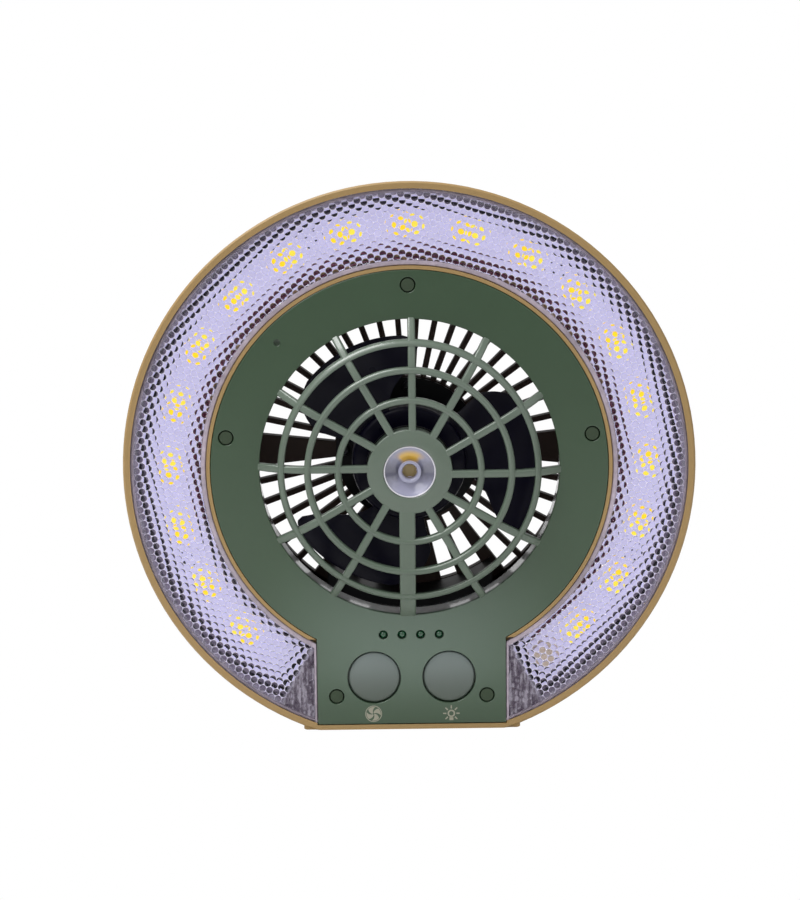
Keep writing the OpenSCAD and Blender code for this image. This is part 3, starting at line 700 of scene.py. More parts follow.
PRINT = Moulded("printed_mark", (0.27, 0.26, 0.20), 0.6, 0.3, 0.004, 0.08)
# The chip cases glow as painted light.
LED_CASE = Lit("led_case", (0.68, 0.66, 0.88), 0.40, 0.3, 0.004, 0.03, glow=0.30)


# ---------------------------------------------------------------- mesh tools


def shown(name: str, data: bpy.types.ID) -> bpy.types.Object:
    """Make an object of the data and link it to the scene."""
    made = bpy.data.objects.new(name, data)
    bpy.context.scene.collection.objects.link(made)
    return made


def baked(holder: bpy.types.Object, spent: bool = True) -> Mesh:
    """Turn what an object shows into a plain mesh.

    Args:
        holder: Object with modifiers, or with a curve.
        spent: Whether the object is taken away afterwards.

    Returns:
        The mesh with everything applied.
    """
    bpy.context.view_layer.update()
    source = holder.evaluated_get(bpy.context.evaluated_depsgraph_get())
    mesh = bpy.data.meshes.new_from_object(source)
    if spent:
        bpy.data.objects.remove(holder)
    return mesh


@contextmanager
def edited(mesh: Mesh) -> Iterator[bmesh.types.BMesh]:
    """Open a mesh for editing and write it back at the end.

    Args:
        mesh: Mesh to edit.

    Returns:
        The opened mesh, for a with statement.
    """
    work = bmesh.new()
    work.from_mesh(mesh)
    yield work
    work.to_mesh(mesh)
    work.free()


def polar(radius: float, clock: float) -> Point:
    """Return the point at a clock angle in degrees, seen from the front."""
    turn = math.radians(clock)
    return radius * math.sin(turn), radius * math.cos(turn)


def arc(
    radius: float, first: float, last: float, steps: int, centre: Point = (0.0, 0.0)
) -> list[Point]:
    """Return the points of an arc.

    Args:
        radius: Radius of the arc.
        first: Angle of its first point in radians, counted from the right.
        last: Angle of its last point.
        steps: Number of steps between them.
        centre: Middle of the arc.

    Returns:
        One point more than there are steps.
    """
    x, y = centre
    turns = [first + (last - first) * k / steps for k in range(steps + 1)]
    return [(x + radius * math.cos(turn), y + radius * math.sin(turn)) for turn in turns]


def over_top(radius: float, low: float, steps: int) -> list[Point]:
    """Return the arc over the top between two equal angles from the right and the left."""
    return arc(radius, low, math.pi - low, steps)


def circle(centre: Point, radius: float, steps: int = 64) -> list[Point]:
    """Return the points of a circle."""
    return arc(radius, 0.0, math.tau, steps, centre)[:-1]


def mesh_from(name: str, verts: Sequence[Sequence[float]], faces: Sequence[Sequence[int]]) -> Mesh:
    """Make a mesh with outward faces.

    Args:
        name: Mesh name.
        verts: Vertex places in millimetres.
        faces: Vertex numbers of each face.

    Returns:
        The mesh.
    """
    mesh = bpy.data.meshes.new(name)
    mesh.from_pydata([tuple(v) for v in verts], [], [tuple(f) for f in faces])
    with edited(mesh) as work:
        bmesh.ops.recalc_face_normals(work, faces=work.faces)
    return mesh


def healed(mesh: Mesh) -> Mesh:
    """Take off slivers that stand on a closed shell with one free edge."""
    with edited(mesh) as work:
        slivers = [face for face in work.faces if any(edge.is_boundary for edge in face.edges)]
        bmesh.ops.delete(work, geom=slivers, context="FACES")
    return mesh


def lathe(
    name: str, profile: Line, steps: int = 96, centre: Point = (0.0, 0.0), closed: bool = False
) -> Mesh:
    """Turn a half section round an axis parallel to the fan's.

    Args:
        name: Mesh name.
        profile: Points (radius, height); radius 0 closes an end.
        steps: Number of steps round the axis.
        centre: Place of the axis.
        closed: Whether the section is a closed loop, as of a ring.

    Returns:
        A closed mesh in millimetres.
    """
    verts: list[Place] = []
    rows: list[list[int]] = []
    for radius, height in profile:
        pole = radius < POLE
        first = len(verts)
        verts.extend((x, y, height) for x, y in ([centre] if pole else circle(centre, radius, steps)))
        rows.append([first] * steps if pole else list(range(first, len(verts))))
    pairs = list(zip(rows, rows[1:]))
    if closed:
        pairs.append((rows[-1], rows[0]))
    faces: list[list[int]] = []
    for low, high in pairs:
        for k in range(steps):
            n = (k + 1) % steps
            loop = [low[k], low[n], high[n], high[k]]
            trimmed = [v for i, v in enumerate(loop) if v != loop[i - 1]]
            if len(trimmed) >= 3:
                faces.append(trimmed)
    return mesh_from(name, verts, faces)


def rounded(points: Line, radius: float, steps: int = 4, closed: bool = False) -> list[Point]:
    """Round the corners of a line in the plane.

    Args:
        points: Corner points.
        radius: Largest length taken from each side of a corner.
        steps: Points put in for each corner.
        closed: Whether the line is a loop.

    Returns:
        The rounded line.
    """
    out: list[Point] = []
    count = len(points)
    for i, point in enumerate(points):
        if not closed and i in (0, count - 1):
            out.append(tuple(point))
            continue
        here = Vector(point)
        before = Vector(points[i - 1]) - here
        after = Vector(points[(i + 1) % count]) - here
        cut = min(radius, before.length / 2, after.length / 2)
        a = here + before.normalized() * cut
        b = here + after.normalized() * cut
        for k in range(steps + 1):
            t = k / steps
            place = a * (1 - t) ** 2 + here * 2 * t * (1 - t) + b * t * t
            out.append((place.x, place.y))
    return out


def plate(
    name: str, outlines: Sequence[Line], low: float, high: float, bevel: float = 0.0
) -> Mesh:
    """Make a flat plate from an outline and its holes, with rounded edges.

    Args:
        name: Mesh name.
        outlines: The outline and then each hole, as loops of points.
        low: Height of the rear face.
        high: Height of the front face.
        bevel: Radius of the rounded edges.

    Returns:
        A closed mesh in millimetres.
    """
    curve = bpy.data.curves.new(name, "CURVE")
    curve.dimensions = "2D"
    curve.fill_mode = "BOTH"
    curve.extrude = (high - low) / 2 - bevel
    curve.bevel_depth = bevel
    curve.bevel_resolution = 2
    curve.offset = -bevel
    for loop in outlines:
        spline = curve.splines.new("POLY")
        spline.points.add(len(loop) - 1)
        for point, (x, y) in zip(spline.points, loop):
            point.co = (x, y, 0.0, 1.0)
        spline.use_cyclic_u = True
    mesh = baked(shown(name, curve))
    mesh.transform(Matrix.Translation((0, 0, (low + high) / 2)))
    with edited(mesh) as work:
        bmesh.ops.remove_doubles(work, verts=work.verts, dist=TOUCHING)
        bmesh.ops.recalc_face_normals(work, faces=work.faces)
    return mesh


def joined(name: str, meshes: Sequence[Mesh]) -> Mesh:
    """Join meshes into one, keeping them as separate shells.

    Args:
        name: Name of the new mesh.
        meshes: Meshes to join.

    Returns:
        The joined mesh.
    """
    out = bpy.data.meshes.new(name)
    with edited(out) as work:
        for mesh in meshes:
            work.from_mesh(mesh)
    return out


def softened(mesh: Mesh, width: float, segments: int = 2, angle: float = 35.0) -> Mesh:
    """Round the sharp edges of a mesh.

    Args:
        mesh: Mesh to round.
        width: Width of the rounding.
        segments: Steps across it.
        angle: Least angle between faces that is rounded, in degrees.

    Returns:
        The rounded mesh.
    """
    holder = shown("softening", mesh)
    bevel = holder.modifiers.new("bevel", "BEVEL")
    bevel.width = width
    bevel.segments = segments
    bevel.limit_method = "ANGLE"
    bevel.angle_limit = math.radians(angle)
    bevel.harden_normals = False
    return baked(holder)


def box_mesh(low: Sequence[float], high: Sequence[float], bevel: float = 0.0) -> Mesh:
    """Return a block between two corners.

    Args:
        low: Corner with the least coordinates.
        high: Corner with the greatest coordinates.
        bevel: Width of its rounded edges, 0 for sharp ones.

    Returns:
        A closed mesh in millimetres.
    """
    corners = list(product(*zip(low, high)))
    faces = [(0, 1, 3, 2), (4, 6, 7, 5), (0, 4, 5, 1), (2, 3, 7, 6), (0, 2, 6, 4), (1, 5, 7, 3)]
    mesh = mesh_from("block", corners, faces)
    return softened(mesh, bevel) if bevel else mesh


def carved(mesh: Mesh, cutter: Mesh) -> Mesh:
    """Cut one closed mesh out of another.

    Args:
        mesh: Mesh that is cut.
        cutter: Mesh that is taken away.

    Returns:
        What is left of the mesh.
    """
    body, tool = shown("carving", mesh), shown("cutter", cutter)
    cut = body.modifiers.new("cut", "BOOLEAN")
    cut.object = tool
    cut.solver = "EXACT"
    out = baked(body)
    bpy.data.objects.remove(tool)
    return out


# ---------------------------------------------------------------- placing pieces


@dataclass(frozen=True)
class Piece:
    """What a finished piece is called, rides on and stands for.

    Attributes:
        name: Object name.
        body: Body that carries it.
        slot: Material slot of the record; not used.
        finish: Finish of the piece.
        stands_for: CAD nodes that it replaces.
        crease: Angle above which an edge stays sharp, in degrees.
    """

    name: str
    body: Body
    slot: str
    finish: Finish
    stands_for: tuple[str, ...] = ()
    crease: float = 32.0

    def levelled(self, made: bpy.types.Object) -> Mesh:
        """Return the mesh with normals that keep its large faces flat.

        Args:
            made: Piece with its first mesh.

        Returns:
            Mesh whose vertex normals follow the largest faces.
        """
        level = made.modifiers.new("level", "WEIGHTED_NORMAL")
        level.keep_sharp = True
        mesh = baked(made, spent=False)
        made.modifiers.clear()
        mesh.name = self.name
        return mesh

    def build(self, mesh: Mesh) -> bpy.types.Object:
        """Put a mesh in millimetres of the fan's axis into the frame.

        Args:
            mesh: Mesh in millimetres.

        Returns:
            The piece.
        """
        mesh.transform(TO_FRAME)
        mesh.name = self.name
        mesh.materials.clear()
        mesh.materials.append(self.finish.material())
        mesh.shade_smooth()
        mesh.set_sharp_from_angle(angle=math.radians(self.crease))
        made = shown(self.name, mesh)
        made.data = self.levelled(made)
        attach(made, self.body.value)
        if self.stands_for:
            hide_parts(*self.stands_for)
        LOG.info("piece %s: %d faces on %s", self.name, len(mesh.polygons), self.body.value)
        return made


def dress(finish: Finish, nodes: Sequence[str]) -> None:
    """Give CAD nodes their finish.

    Args:
        finish: Finish of the nodes.
        nodes: Names of the CAD nodes.
    """
    for node in nodes:
        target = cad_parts[node]
        if not target.material_slots:
            target.data.materials.append(None)
        target.material_slots[0].material = finish.material()
        LOG.info("dressed %s with %s", node, finish.name)


# ---------------------------------------------------------------- geometry nodes


class Rule:
    """A geometry node tree with named inputs, run once on a mesh."""

    def __init__(self, name: str, sizes: dict[str, float]) -> None:
        """Make the tree and its inputs.

        Args:
            name: Tree name.
            sizes: Named float inputs with their values.
        """
        self.tree = bpy.data.node_groups.new(name, "GeometryNodeTree")
        self.graph = Graph(self.tree)
        self.sizes = sizes
        face = self.tree.interface
        for way in ("INPUT", "OUTPUT"):
            face.new_socket("Geometry", in_out=way, socket_type="NodeSocketGeometry")
        self.keys = {
            label: face.new_socket(label, in_out="INPUT", socket_type="NodeSocketFloat").identifier
            for label in sizes
        }
        self.entry = self.tree.nodes.new("NodeGroupInput")
        self.exit = self.tree.nodes.new("NodeGroupOutput")

    def size(self, label: str) -> Value:
        """Return a named input."""
        return Value(self.graph, self.entry.outputs[label])

    def place(self) -> tuple[Value, ...]:
        """Return the three parts of the current position."""
        return self.graph.parts(self.graph.node("GeometryNodeInputPosition"))

    def moved(self, geometry: Value, position: Value, **more: Value) -> Value:
        """Return a geometry with its points moved to a new position."""
        sockets = {"Geometry": geometry, "Position": position, **more}
        return self.graph.node("GeometryNodeSetPosition", sockets)

    def copies(self, points: Value, **more: Value) -> Value:
        """Return instances of the incoming geometry on points."""
        sockets = {"Points": points, "Instance": self.size("Geometry"), **more}
        return self.graph.node("GeometryNodeInstanceOnPoints", sockets)

    def finish(self, geometry: Value, finish: Finish) -> None:
        """End the tree with Realize Instances and Set Material.

        Args:
            geometry: Geometry to put out.
            finish: Finish of the result.
        """
        real = self.graph.node("GeometryNodeRealizeInstances", {"Geometry": geometry})
        sockets = {"Geometry": real, "Material": finish.material()}
        made = self.graph.node("GeometryNodeSetMaterial", sockets)
        self.tree.links.new(made.socket, self.exit.inputs["Geometry"])

    def run(self, mesh: Mesh) -> Mesh:
        """Run the tree on a mesh.

        Args:
            mesh: Incoming mesh.

        Returns:
            The plain mesh that comes out.
        """
        holder = shown("rule", mesh)
        modifier = holder.modifiers.new("rule", "NODES")
        modifier.node_group = self.tree
        for label, value in self.sizes.items():
            modifier[self.keys[label]] = float(value)
        return baked(holder)


def ring_of(
    name: str, part: Mesh, count: int, pitch: float, first: float, radius: float, finish: Finish
) -> Mesh:
    """Repeat a part round the fan's axis with geometry nodes.

    Args:
        name: Name of the rule.
        part: Mesh in millimetres, drawn at the top of the ring about its own middle.
        count: Number of copies.
        pitch: Clock angle from one to the next, in degrees.
        first: Clock angle of the first, in degrees.
        radius: Radius of the ring.
        finish: Finish of the part.

    Returns:
        The repeated mesh.
    """
    rule = Rule(name, {"Count": count, "Pitch": pitch, "First": first, "Radius": radius})
    graph = rule.graph
    line = graph.node("GeometryNodeMeshLine", {"Count": rule.size("Count")})
    index = graph.node("GeometryNodeInputIndex")
    turn = (index * rule.size("Pitch") + rule.size("First")) * math.radians(1.0)
    far = rule.size("Radius")
    points = rule.moved(line, graph.vector(turn.call("SINE") * far, turn.call("COSINE") * far))
    rule.finish(rule.copies(points, Rotation=graph.vector(z=0.0 - turn)), finish)
    return rule.run(part)


def spread(name: str, part: Mesh, places: Sequence[Place], finish: Finish) -> Mesh:
    """Repeat a part at stated places with geometry nodes.

    Args:
        name: Name of the rule.
        part: Mesh in millimetres about its own middle.
        places: Where the copies go.
        finish: Finish of the part.

    Returns:
        The repeated mesh.
    """
    marks = bpy.data.meshes.new(name + "_places")
    marks.from_pydata(list(places), [], [])
    holder = shown(name + "_places", marks)
    rule = Rule(name, {"Size": 1.0})
    found = rule.graph.node("GeometryNodeObjectInfo", {"Object": holder}, "Geometry")
    size = rule.size("Size")
    rule.finish(rule.copies(found, Scale=rule.graph.vector(size, size, size)), finish)
    out = rule.run(part)
    bpy.data.objects.remove(holder)
    return out


# ---------------------------------------------------------------- ring lamp


@dataclass
class RingLamp:
    """Clear honeycomb ring with its edge strips and chip lamps.

    Attributes:
        outer: Outer radius of the lens.
        inner: Inner radius of the lens.
        end_x: Half width left free for the panel's foot.
        bottom: Lowest point of the lens.
        rear: Height of the tips of the small lenses.
        front: Height of the smooth front face.
        bulge: Depth of a small lens per square millimetre of its radius.
        rows: Rows and columns of the field that the ring is cut from.
        margin: Width kept beyond the outline, as a share of the pitch, before it is fitted.
        cell_weld: Distance at which points of neighbouring lenses merge.
        plate_weld: Distance at which points of the front and the rear merge.
        flat_area: Area under which a face is taken out.
        edge_low: Height of the rear of the edge strips.
        edge_high: Height of their front.
        pairs: Number of chip pairs.
        pair_pitch: Clock angle from one pair to the next.
        first_pair: Clock angle of the first pair.
        led_radius: Radius of the ring of chips.
        board_top: Height of the board's face.
        chip: Half the distance between the two chips of a pair.
    """

    outer: float = 102.05
    inner: float = 76.5
    end_x: float = 36.1
    bottom: float = -96.45
    rear: float = 21.12
    front: float = 23.48
    bulge: float = 0.318
    rows: int = 92
    margin: float = 0.6
    cell_weld: float = 0.012
    plate_weld: float = 0.004
    flat_area: float = 1e-7
    edge_low: float = 21.3
    edge_high: float = 23.45
    pairs: int = 19
    pair_pitch: float = 15.0
    first_pair: float = -135.0
    led_radius: float = 88.2
    board_top: float = 12.9
    chip: float = 2.6

    def cell(self) -> Mesh:
        """Return one small lens as a six-sided dome, tip at height 0.

        Returns:
            An open mesh in millimetres.
        """
        corner, middle = LENS_PITCH / math.sqrt(3), LENS_PITCH / 2
        verts: list[Place] = [(0.0, 0.0, 0.0)]
        for radii in ([corner / 2], [corner, middle]):
            count = 6 * len(radii)
            for k in range(count):
                turn = math.radians(30 + k * 360 / count + LENS_TURN)
                radius = radii[k % len(radii)]
                verts.append((radius * math.cos(turn), radius * math.sin(turn), self.bulge * radius**2))
        faces: list[tuple[int, int, int]] = []
        for k in range(6):
            here, ahead = 1 + k, 1 + (k + 1) % 6
            a, b, c = 7 + 2 * k, 8 + 2 * k, 7 + (2 * k + 2) % 12
            faces += [(0, here, ahead), (here, a, b), (here, b, ahead), (ahead, b, c)]
        mesh = bpy.data.meshes.new("cell")
        mesh.from_pydata(verts, [], faces)
        return mesh

    def field(self, rule: Rule) -> Value:
        """Return the points of the small lenses that touch the ring.

        Args:
            rule: Rule with the sizes.

        Returns:
            Points in rows that are turned against the fan.
        """
        graph, side = rule.graph, self.rows
        sockets = {"Size X": 1.0, "Size Y": 1.0, "Vertices X": side, "Vertices Y": side}
        grid = graph.node("GeometryNodeMeshGrid", sockets)
        index = graph.node("GeometryNodeInputIndex")
        row = (index / side).call("FLOOR")
        column = index - row * side
        u = (column - side / 2 + (row * 0.5).call("FRACT")) * rule.size("Pitch")
        v = (row - side / 2) * rule.size("Pitch") * (math.sqrt(3) / 2)
        sine, cosine = (rule.size("Turn").call(way) for way in ("SINE", "COSINE"))
        placed = rule.moved(grid, graph.vector(u * cosine - v * sine, u * sine + v * cosine))
        margin = self.margin * LENS_PITCH
        x, y, _ = rule.place()
        radius = length(x, y)
        away = (radius > rule.size("Outer") + margin).least(radius < rule.size("Inner") - margin)
        away = away.least((abs(x) < rule.size("End") - margin) * (y < 0.0))
        sockets = {"Geometry": placed, "Selection": away.least(y < rule.size("Bottom") - margin)}
        return graph.node("GeometryNodeDeleteGeometry", sockets, domain="POINT")

    def fitted(self, rule: Rule, sheet: Value) -> Value:
        """Draw what stands over the outline back onto it.

        Args:
            rule: Rule with the sizes.
            sheet: Field of small lenses.

        Returns:
            The fitted field, lifted to its height.
        """
        x, y, z = rule.place()
        end, bottom, side = rule.size("End"), rule.size("Bottom"), x.call("SIGN")

        def clear_of_foot(across: Value, height: Value) -> Value:
            """Return a sideways place, moved out of the room for the panel's foot."""
            within = (height < 0.0) * (abs(across) < end)
            return across * (1.0 - within) + side * end * within

        low = y.least(bottom)
        wide = clear_of_foot(x, y)
        radius = length(wide, low)
        ratio = radius.most(rule.size("Outer")).least(rule.size("Inner")) / radius
        height = (low * ratio).least(bottom)
        across = clear_of_foot(wide * ratio, height)
        return rule.moved(sheet, rule.graph.vector(across, height, z + rule.size("Rear")))

    def closed(self, rule: Rule, sheet: Value) -> Value:
        """Close the field of small lenses to a plate with a smooth front.

        Args:
            rule: Rule with the sizes.
            sheet: Fitted field.

        Returns:
            Closed geometry of the lens.
        """
        graph = rule.graph
        upwards = graph.vector(z=1.0)
        sockets = {"Mesh": sheet, "Offset": upwards, "Offset Scale": 1.0, "Individual": False}
        raised = graph.raw("GeometryNodeExtrudeMesh", sockets, mode="FACES")
        mesh, top = (Value(graph, raised.outputs[label]) for label in ("Mesh", "Top"))
        x, y, _ = rule.place()
        front = rule.moved(mesh, graph.vector(x, y, rule.size("Front")), Selection=top)
        back = graph.node("GeometryNodeFlipFaces", {0: sheet})
        both = graph.raw("GeometryNodeJoinGeometry")
        for half in (front, back):
            rule.tree.links.new(half.socket, both.inputs[0])
        return self.welded(rule, Value(graph, both.outputs[0]), self.plate_weld)

    @staticmethod
    def welded(rule: Rule, geometry: Value, distance: float) -> Value:
        """Merge points that lie closer than a distance."""
        sockets = {"Geometry": geometry, "Distance": distance}
        return rule.graph.node("GeometryNodeMergeByDistance", sockets)

    def honeycomb(self) -> Mesh:
        """Grow the field of small lenses and close it to a plate.

        Returns:
            Closed mesh of the lens in millimetres.
        """
        rule = Rule("honeycomb", {
            "Pitch": LENS_PITCH, "Turn": math.radians(LENS_TURN),
            "Outer": self.outer, "Inner": self.inner, "End": self.end_x,
            "Bottom": self.bottom, "Rear": self.rear, "Front": self.front,
        })
        graph = rule.graph
        copies = rule.copies(self.field(rule))
        sheet = graph.node("GeometryNodeRealizeInstances", {"Geometry": copies})
        sheet = self.welded(rule, self.fitted(rule, sheet), self.cell_weld)
        flat = graph.node("GeometryNodeInputMeshFaceArea") < self.flat_area
        sockets = {"Geometry": sheet, "Selection": flat}
        sheet = graph.node("GeometryNodeDeleteGeometry", sockets, domain="FACE")
        rule.finish(self.closed(rule, sheet), LENS)
        return healed(rule.run(self.cell()))

    def rims(self) -> Mesh:
        """Return the polished edge strips round the lens, inside and outside.

        Returns:
            A closed mesh in millimetres.
        """
        lines: list[list[Point]] = []
        for radius, side in ((74.66, 35.1), (self.inner, 36.15)):
            over = over_top(radius, -math.acos(side / radius), 140)
            lines.append([(side, self.bottom), *over, (-side, self.bottom)])
        for radius in (self.outer, self.outer - 1.0):
            lines.append(over_top(radius, math.asin(self.bottom / radius), 180))
        near, shore, far, edge = lines
        low, high = self.edge_low, self.edge_high
        inside = plate("inner_edge", [near + shore[::-1]], low, high, 0.45)
        outside = plate("outer_edge", [far + edge[::-1]], low, high - 0.1, 0.3)
        return joined("lens_edges", [inside, outside])

    def around(self, name: str, part: Mesh, finish: Finish) -> Mesh:
        """Repeat a part at every pair of chips."""
        return ring_of(
            name, part, self.pairs, self.pair_pitch, self.first_pair, self.led_radius, finish
        )

    def chips(self, side: int, finish: Finish, name: str) -> Mesh:
        """Repeat one chip lamp of each pair round the board.

        Args:
            side: Which chip of the pair, -1 or 1.
            finish: Finish of the phosphor.
            name: Name of the rule.

        Returns:
            Mesh of all such chips.
        """
        radius, low, top = 2.35, self.board_top + 0.5, self.board_top + 1.02
        section = [(0.0, low), (radius, low), (radius, top), (0.0, top + 0.01)]
        return self.around(name, lathe(name, section, 24, (side * self.chip, 0.0)), finish)

    def cases(self) -> Mesh:
        """Return the white square cases of all chip lamps.

        Returns:
            A closed mesh in millimetres.
        """
        half, low = 2.5, self.board_top
        high = low + 1.0
        pair = [
            box_mesh((middle - half, -half, low), (middle + half, half, high), 0.15)
            for middle in (-self.chip, self.chip)
        ]
        return self.around("cases", joined("case_pair", pair), LED_CASE)

    def build(self) -> None:
        """Build and place the lens and the chips."""
        lens = Piece("honeycomb_lens", Body.HOUSING, "clear_lens", LENS, ("lamp_lens",), 40.0)
        lens.build(self.honeycomb())
        Piece("lens_edges", Body.HOUSING, "clear_lens", EDGE).build(self.rims())
        Piece("chip_cases", Body.HOUSING, "led_phosphor", LED_CASE).build(self.cases())
        for name, side, finish, nodes in (
            ("warm_chips", -1, WARM_LED, ("lamp_leds",)),
            ("pale_chips", 1, COOL_LED, ()),
        ):
            chips = self.chips(side, finish, name + "_rule")
            Piece(name, Body.HOUSING, "led_phosphor", finish, nodes).build(chips)


# ---------------------------------------------------------------- panel and guard


@dataclass
class GuardPanel:
    """Green panel with its dished guard, hub and plugs.

    Attributes:
        radius: Radius of the round part of the panel.
        half_width: Half width of its foot.
        foot: Lowest edge of the foot.
        back: Height of the rear face.
        opening: Radius of the fan opening.
        hub: Radius of the hub.
        top: Height of the hub's front face.
        bar: Width of a spoke.
        wide_bar: Width of the bottom spoke.
        offset: Sideways offset of each spoke.
        rings: Radius and rise of each ring.
        ring_half: Half the width of a ring.
        plug_hole: Radius of the hole round a plug.
        button_hole: Radius of the hole round a button.
        light_hole: Radius of the hole round an indicator.
        dimple_hole: Radius of the dimple.
        dimple: Place of the small dimple.
        lights: Height of the row of indicators.
        light_pitch: Distance from one indicator to the next.
    """

    radius: float = 72.9
    half_width: float = 35.0
    foot: float = -96.5
    back: float = 21.6
    opening: float = 55.0
    hub: float = 15.6
    top: float = 32.5
    bar: float = 2.8
    wide_bar: float = 5.9
    offset: float = 1.1
    rings: tuple[Point, ...] = ((26.1, 0.0), (37.2, 0.2), (47.0, -1.9))
    ring_half: float = 1.25
    plug_hole: float = 2.82
    button_hole: float = 9.9
    light_hole: float = 1.65
    dimple_hole: float = 1.15
    dimple: Point = (-47.7, 46.8)
    lights: float = -62.6
    light_pitch: float = 6.9

    def outline(self) -> list[Point]:
        """Return the panel's outline, a disc with a straight foot."""
        round_part = over_top(self.radius, -math.acos(self.half_width / self.radius), 160)
        corners = [(-self.half_width, self.foot), (self.half_width, self.foot)]
        foot = rounded([round_part[-1], *corners, round_part[0]], 0.6, 3)
        return round_part + foot[1:-1]

    def sheet(self) -> Mesh:
        """Cut the plate with all its holes.

        Returns:
            A closed mesh in millimetres.
        """
        holes = [circle((0.0, 0.0), self.opening, 180)]
        holes += [circle(place, self.button_hole, 72) for place in BUTTONS]
        holes += [circle(place, self.plug_hole, 40) for place in PLUGS]
        lights = [(step * self.light_pitch, self.lights) for step in (-1.5, -0.5, 0.5, 1.5)]
        holes += [circle(place, self.light_hole, 32) for place in lights]
        holes.append(circle(self.dimple, self.dimple_hole, 24))
        return plate("sheet", [self.outline(), *holes], self.back, FRONT, 0.3)

    def spoke(self, width: float) -> Mesh:
        """Return one spoke that points up, with rounded long edges.

        Args:
            width: Width of the spoke.

        Returns:
            A closed mesh in millimetres.
        """
        near, outer, top = self.hub - 1, self.opening + 0.8, self.top
        front = [(near, top - 0.3), (40, top - 0.3), (47, top - 2.2), (52, top - 5.2), (outer, 23.8)]
        back = [(outer, self.back), (self.opening - 0.7, self.back), (50.6, top - 8.6)]
        back += [(46, top - 5.6), (39.6, top - 3.3), (near, top - 3.3)]
        loop = rounded(front, 3.0) + rounded(back, 3.0)
        count = len(loop)
        sides = (self.offset - width / 2, self.offset + width / 2)
        verts = [(side, r, h) for side in sides for r, h in loop]
        faces = [list(range(count)), list(range(2 * count - 1, count - 1, -1))]
        faces += [[k, (k + 1) % count, (k + 1) % count + count, k + count] for k in range(count)]
        return softened(mesh_from("spoke", verts, faces), 0.85, 3, 50.0)

    def ring(self, radius: float, rise: float) -> Mesh:
        """Return one ring of the guard, round in front and square behind.

        Args:
            radius: Mean radius of the ring.
            rise: Rise over the hub's face; a ring that lies lower leans outwards.

        Returns:
            A closed mesh in millimetres.
        """
        half, edge = self.ring_half, 0.3
        low = self.top + rise - 3.0
        section = arc(half, 0.0, math.pi, 10, (radius, self.top + rise - half))
        section += [(radius - half, low + edge), (radius - half + edge, low)]
        section += [(radius + half - edge, low), (radius + half, low + edge)]
        lean = max(0.0, -rise) * 0.28
        leant = [(r, h - (r - radius) * lean) for r, h in section]
        return lathe("ring", leant, 144, closed=True)

    def hub_ring(self) -> Mesh:
        """Return the hub with its seat for the spot lens.

        Returns:
            A closed mesh in millimetres.
        """
        rear, seat, top = 25.5, 29.9, self.top
        edge = rounded([(self.hub, rear + 1), (self.hub, top - 0.45), (self.hub - 3, top - 0.1)], 0.6)
        lip = rounded([(11.0, top), (9.62, top), (9.62, top - 1)], 0.45)
        inner = [(10.1, top - 1), (10.1, seat), (13.8, seat), (13.8, rear)]
        return lathe("hub", [(self.hub, rear), *edge, *lip, *inner], 128, closed=True)

    def boss(self, place: Point) -> Mesh:
        """Return the screw boss behind one plug.

        Args:
            place: Place of the plug.

        Returns:
            A closed mesh in millimetres.
        """
        bore, wall, hole = 1.5, 4.2, self.plug_hole
        rear, seat, front = 13.9, 19.0, 21.8
        section = [(bore, rear), (wall, rear), (wall, front), (hole, front), (hole, seat), (bore, seat)]
        return lathe("boss", section, 40, place, closed=True)

    def plug(self) -> Mesh:
        """Return one soft plug with a rounded front edge."""
        face = rounded([(2.7, 21.5), (2.45, 22.0), (2.45, 23.8), (0.0, 23.8)], 0.35)
        return lathe("plug", [(0.0, 20.9), (2.7, 20.9), *face], 40)

    def build(self) -> None:
        """Build the panel and its plugs."""
        guard = [
            ring_of("spokes", self.spoke(self.bar), 11, 30.0, 210.0, 0.0, GUARD),
            ring_of("wide_spoke", self.spoke(self.wide_bar), 1, 30.0, 180.0, 0.0, GUARD),
            self.hub_ring(),
            *(self.ring(radius, rise) for radius, rise in self.rings),
        ]
        dimple = [(0.0, 21.8), (1.5, 21.8), (1.5, 22.9), (0.0, 22.5)]
        panel = [self.sheet(), *(self.boss(place) for place in PLUGS)]
        panel.append(lathe("dimple", dimple, 24, self.dimple))
        Piece("guard_bars", Body.HOUSING, "green_panel", GUARD, ("front_panel",)).build(
            joined("guard_bars", guard)
        )
        Piece("panel_plate", Body.HOUSING, "green_panel", GREEN).build(joined("panel_plate", panel))
        Piece("plug_set", Body.HOUSING, "plug_rubber", PLUG, ("screw_plugs",)).build(
            spread("plugs", self.plug(), [(x, y, 0.0) for x, y in PLUGS], PLUG)
        )


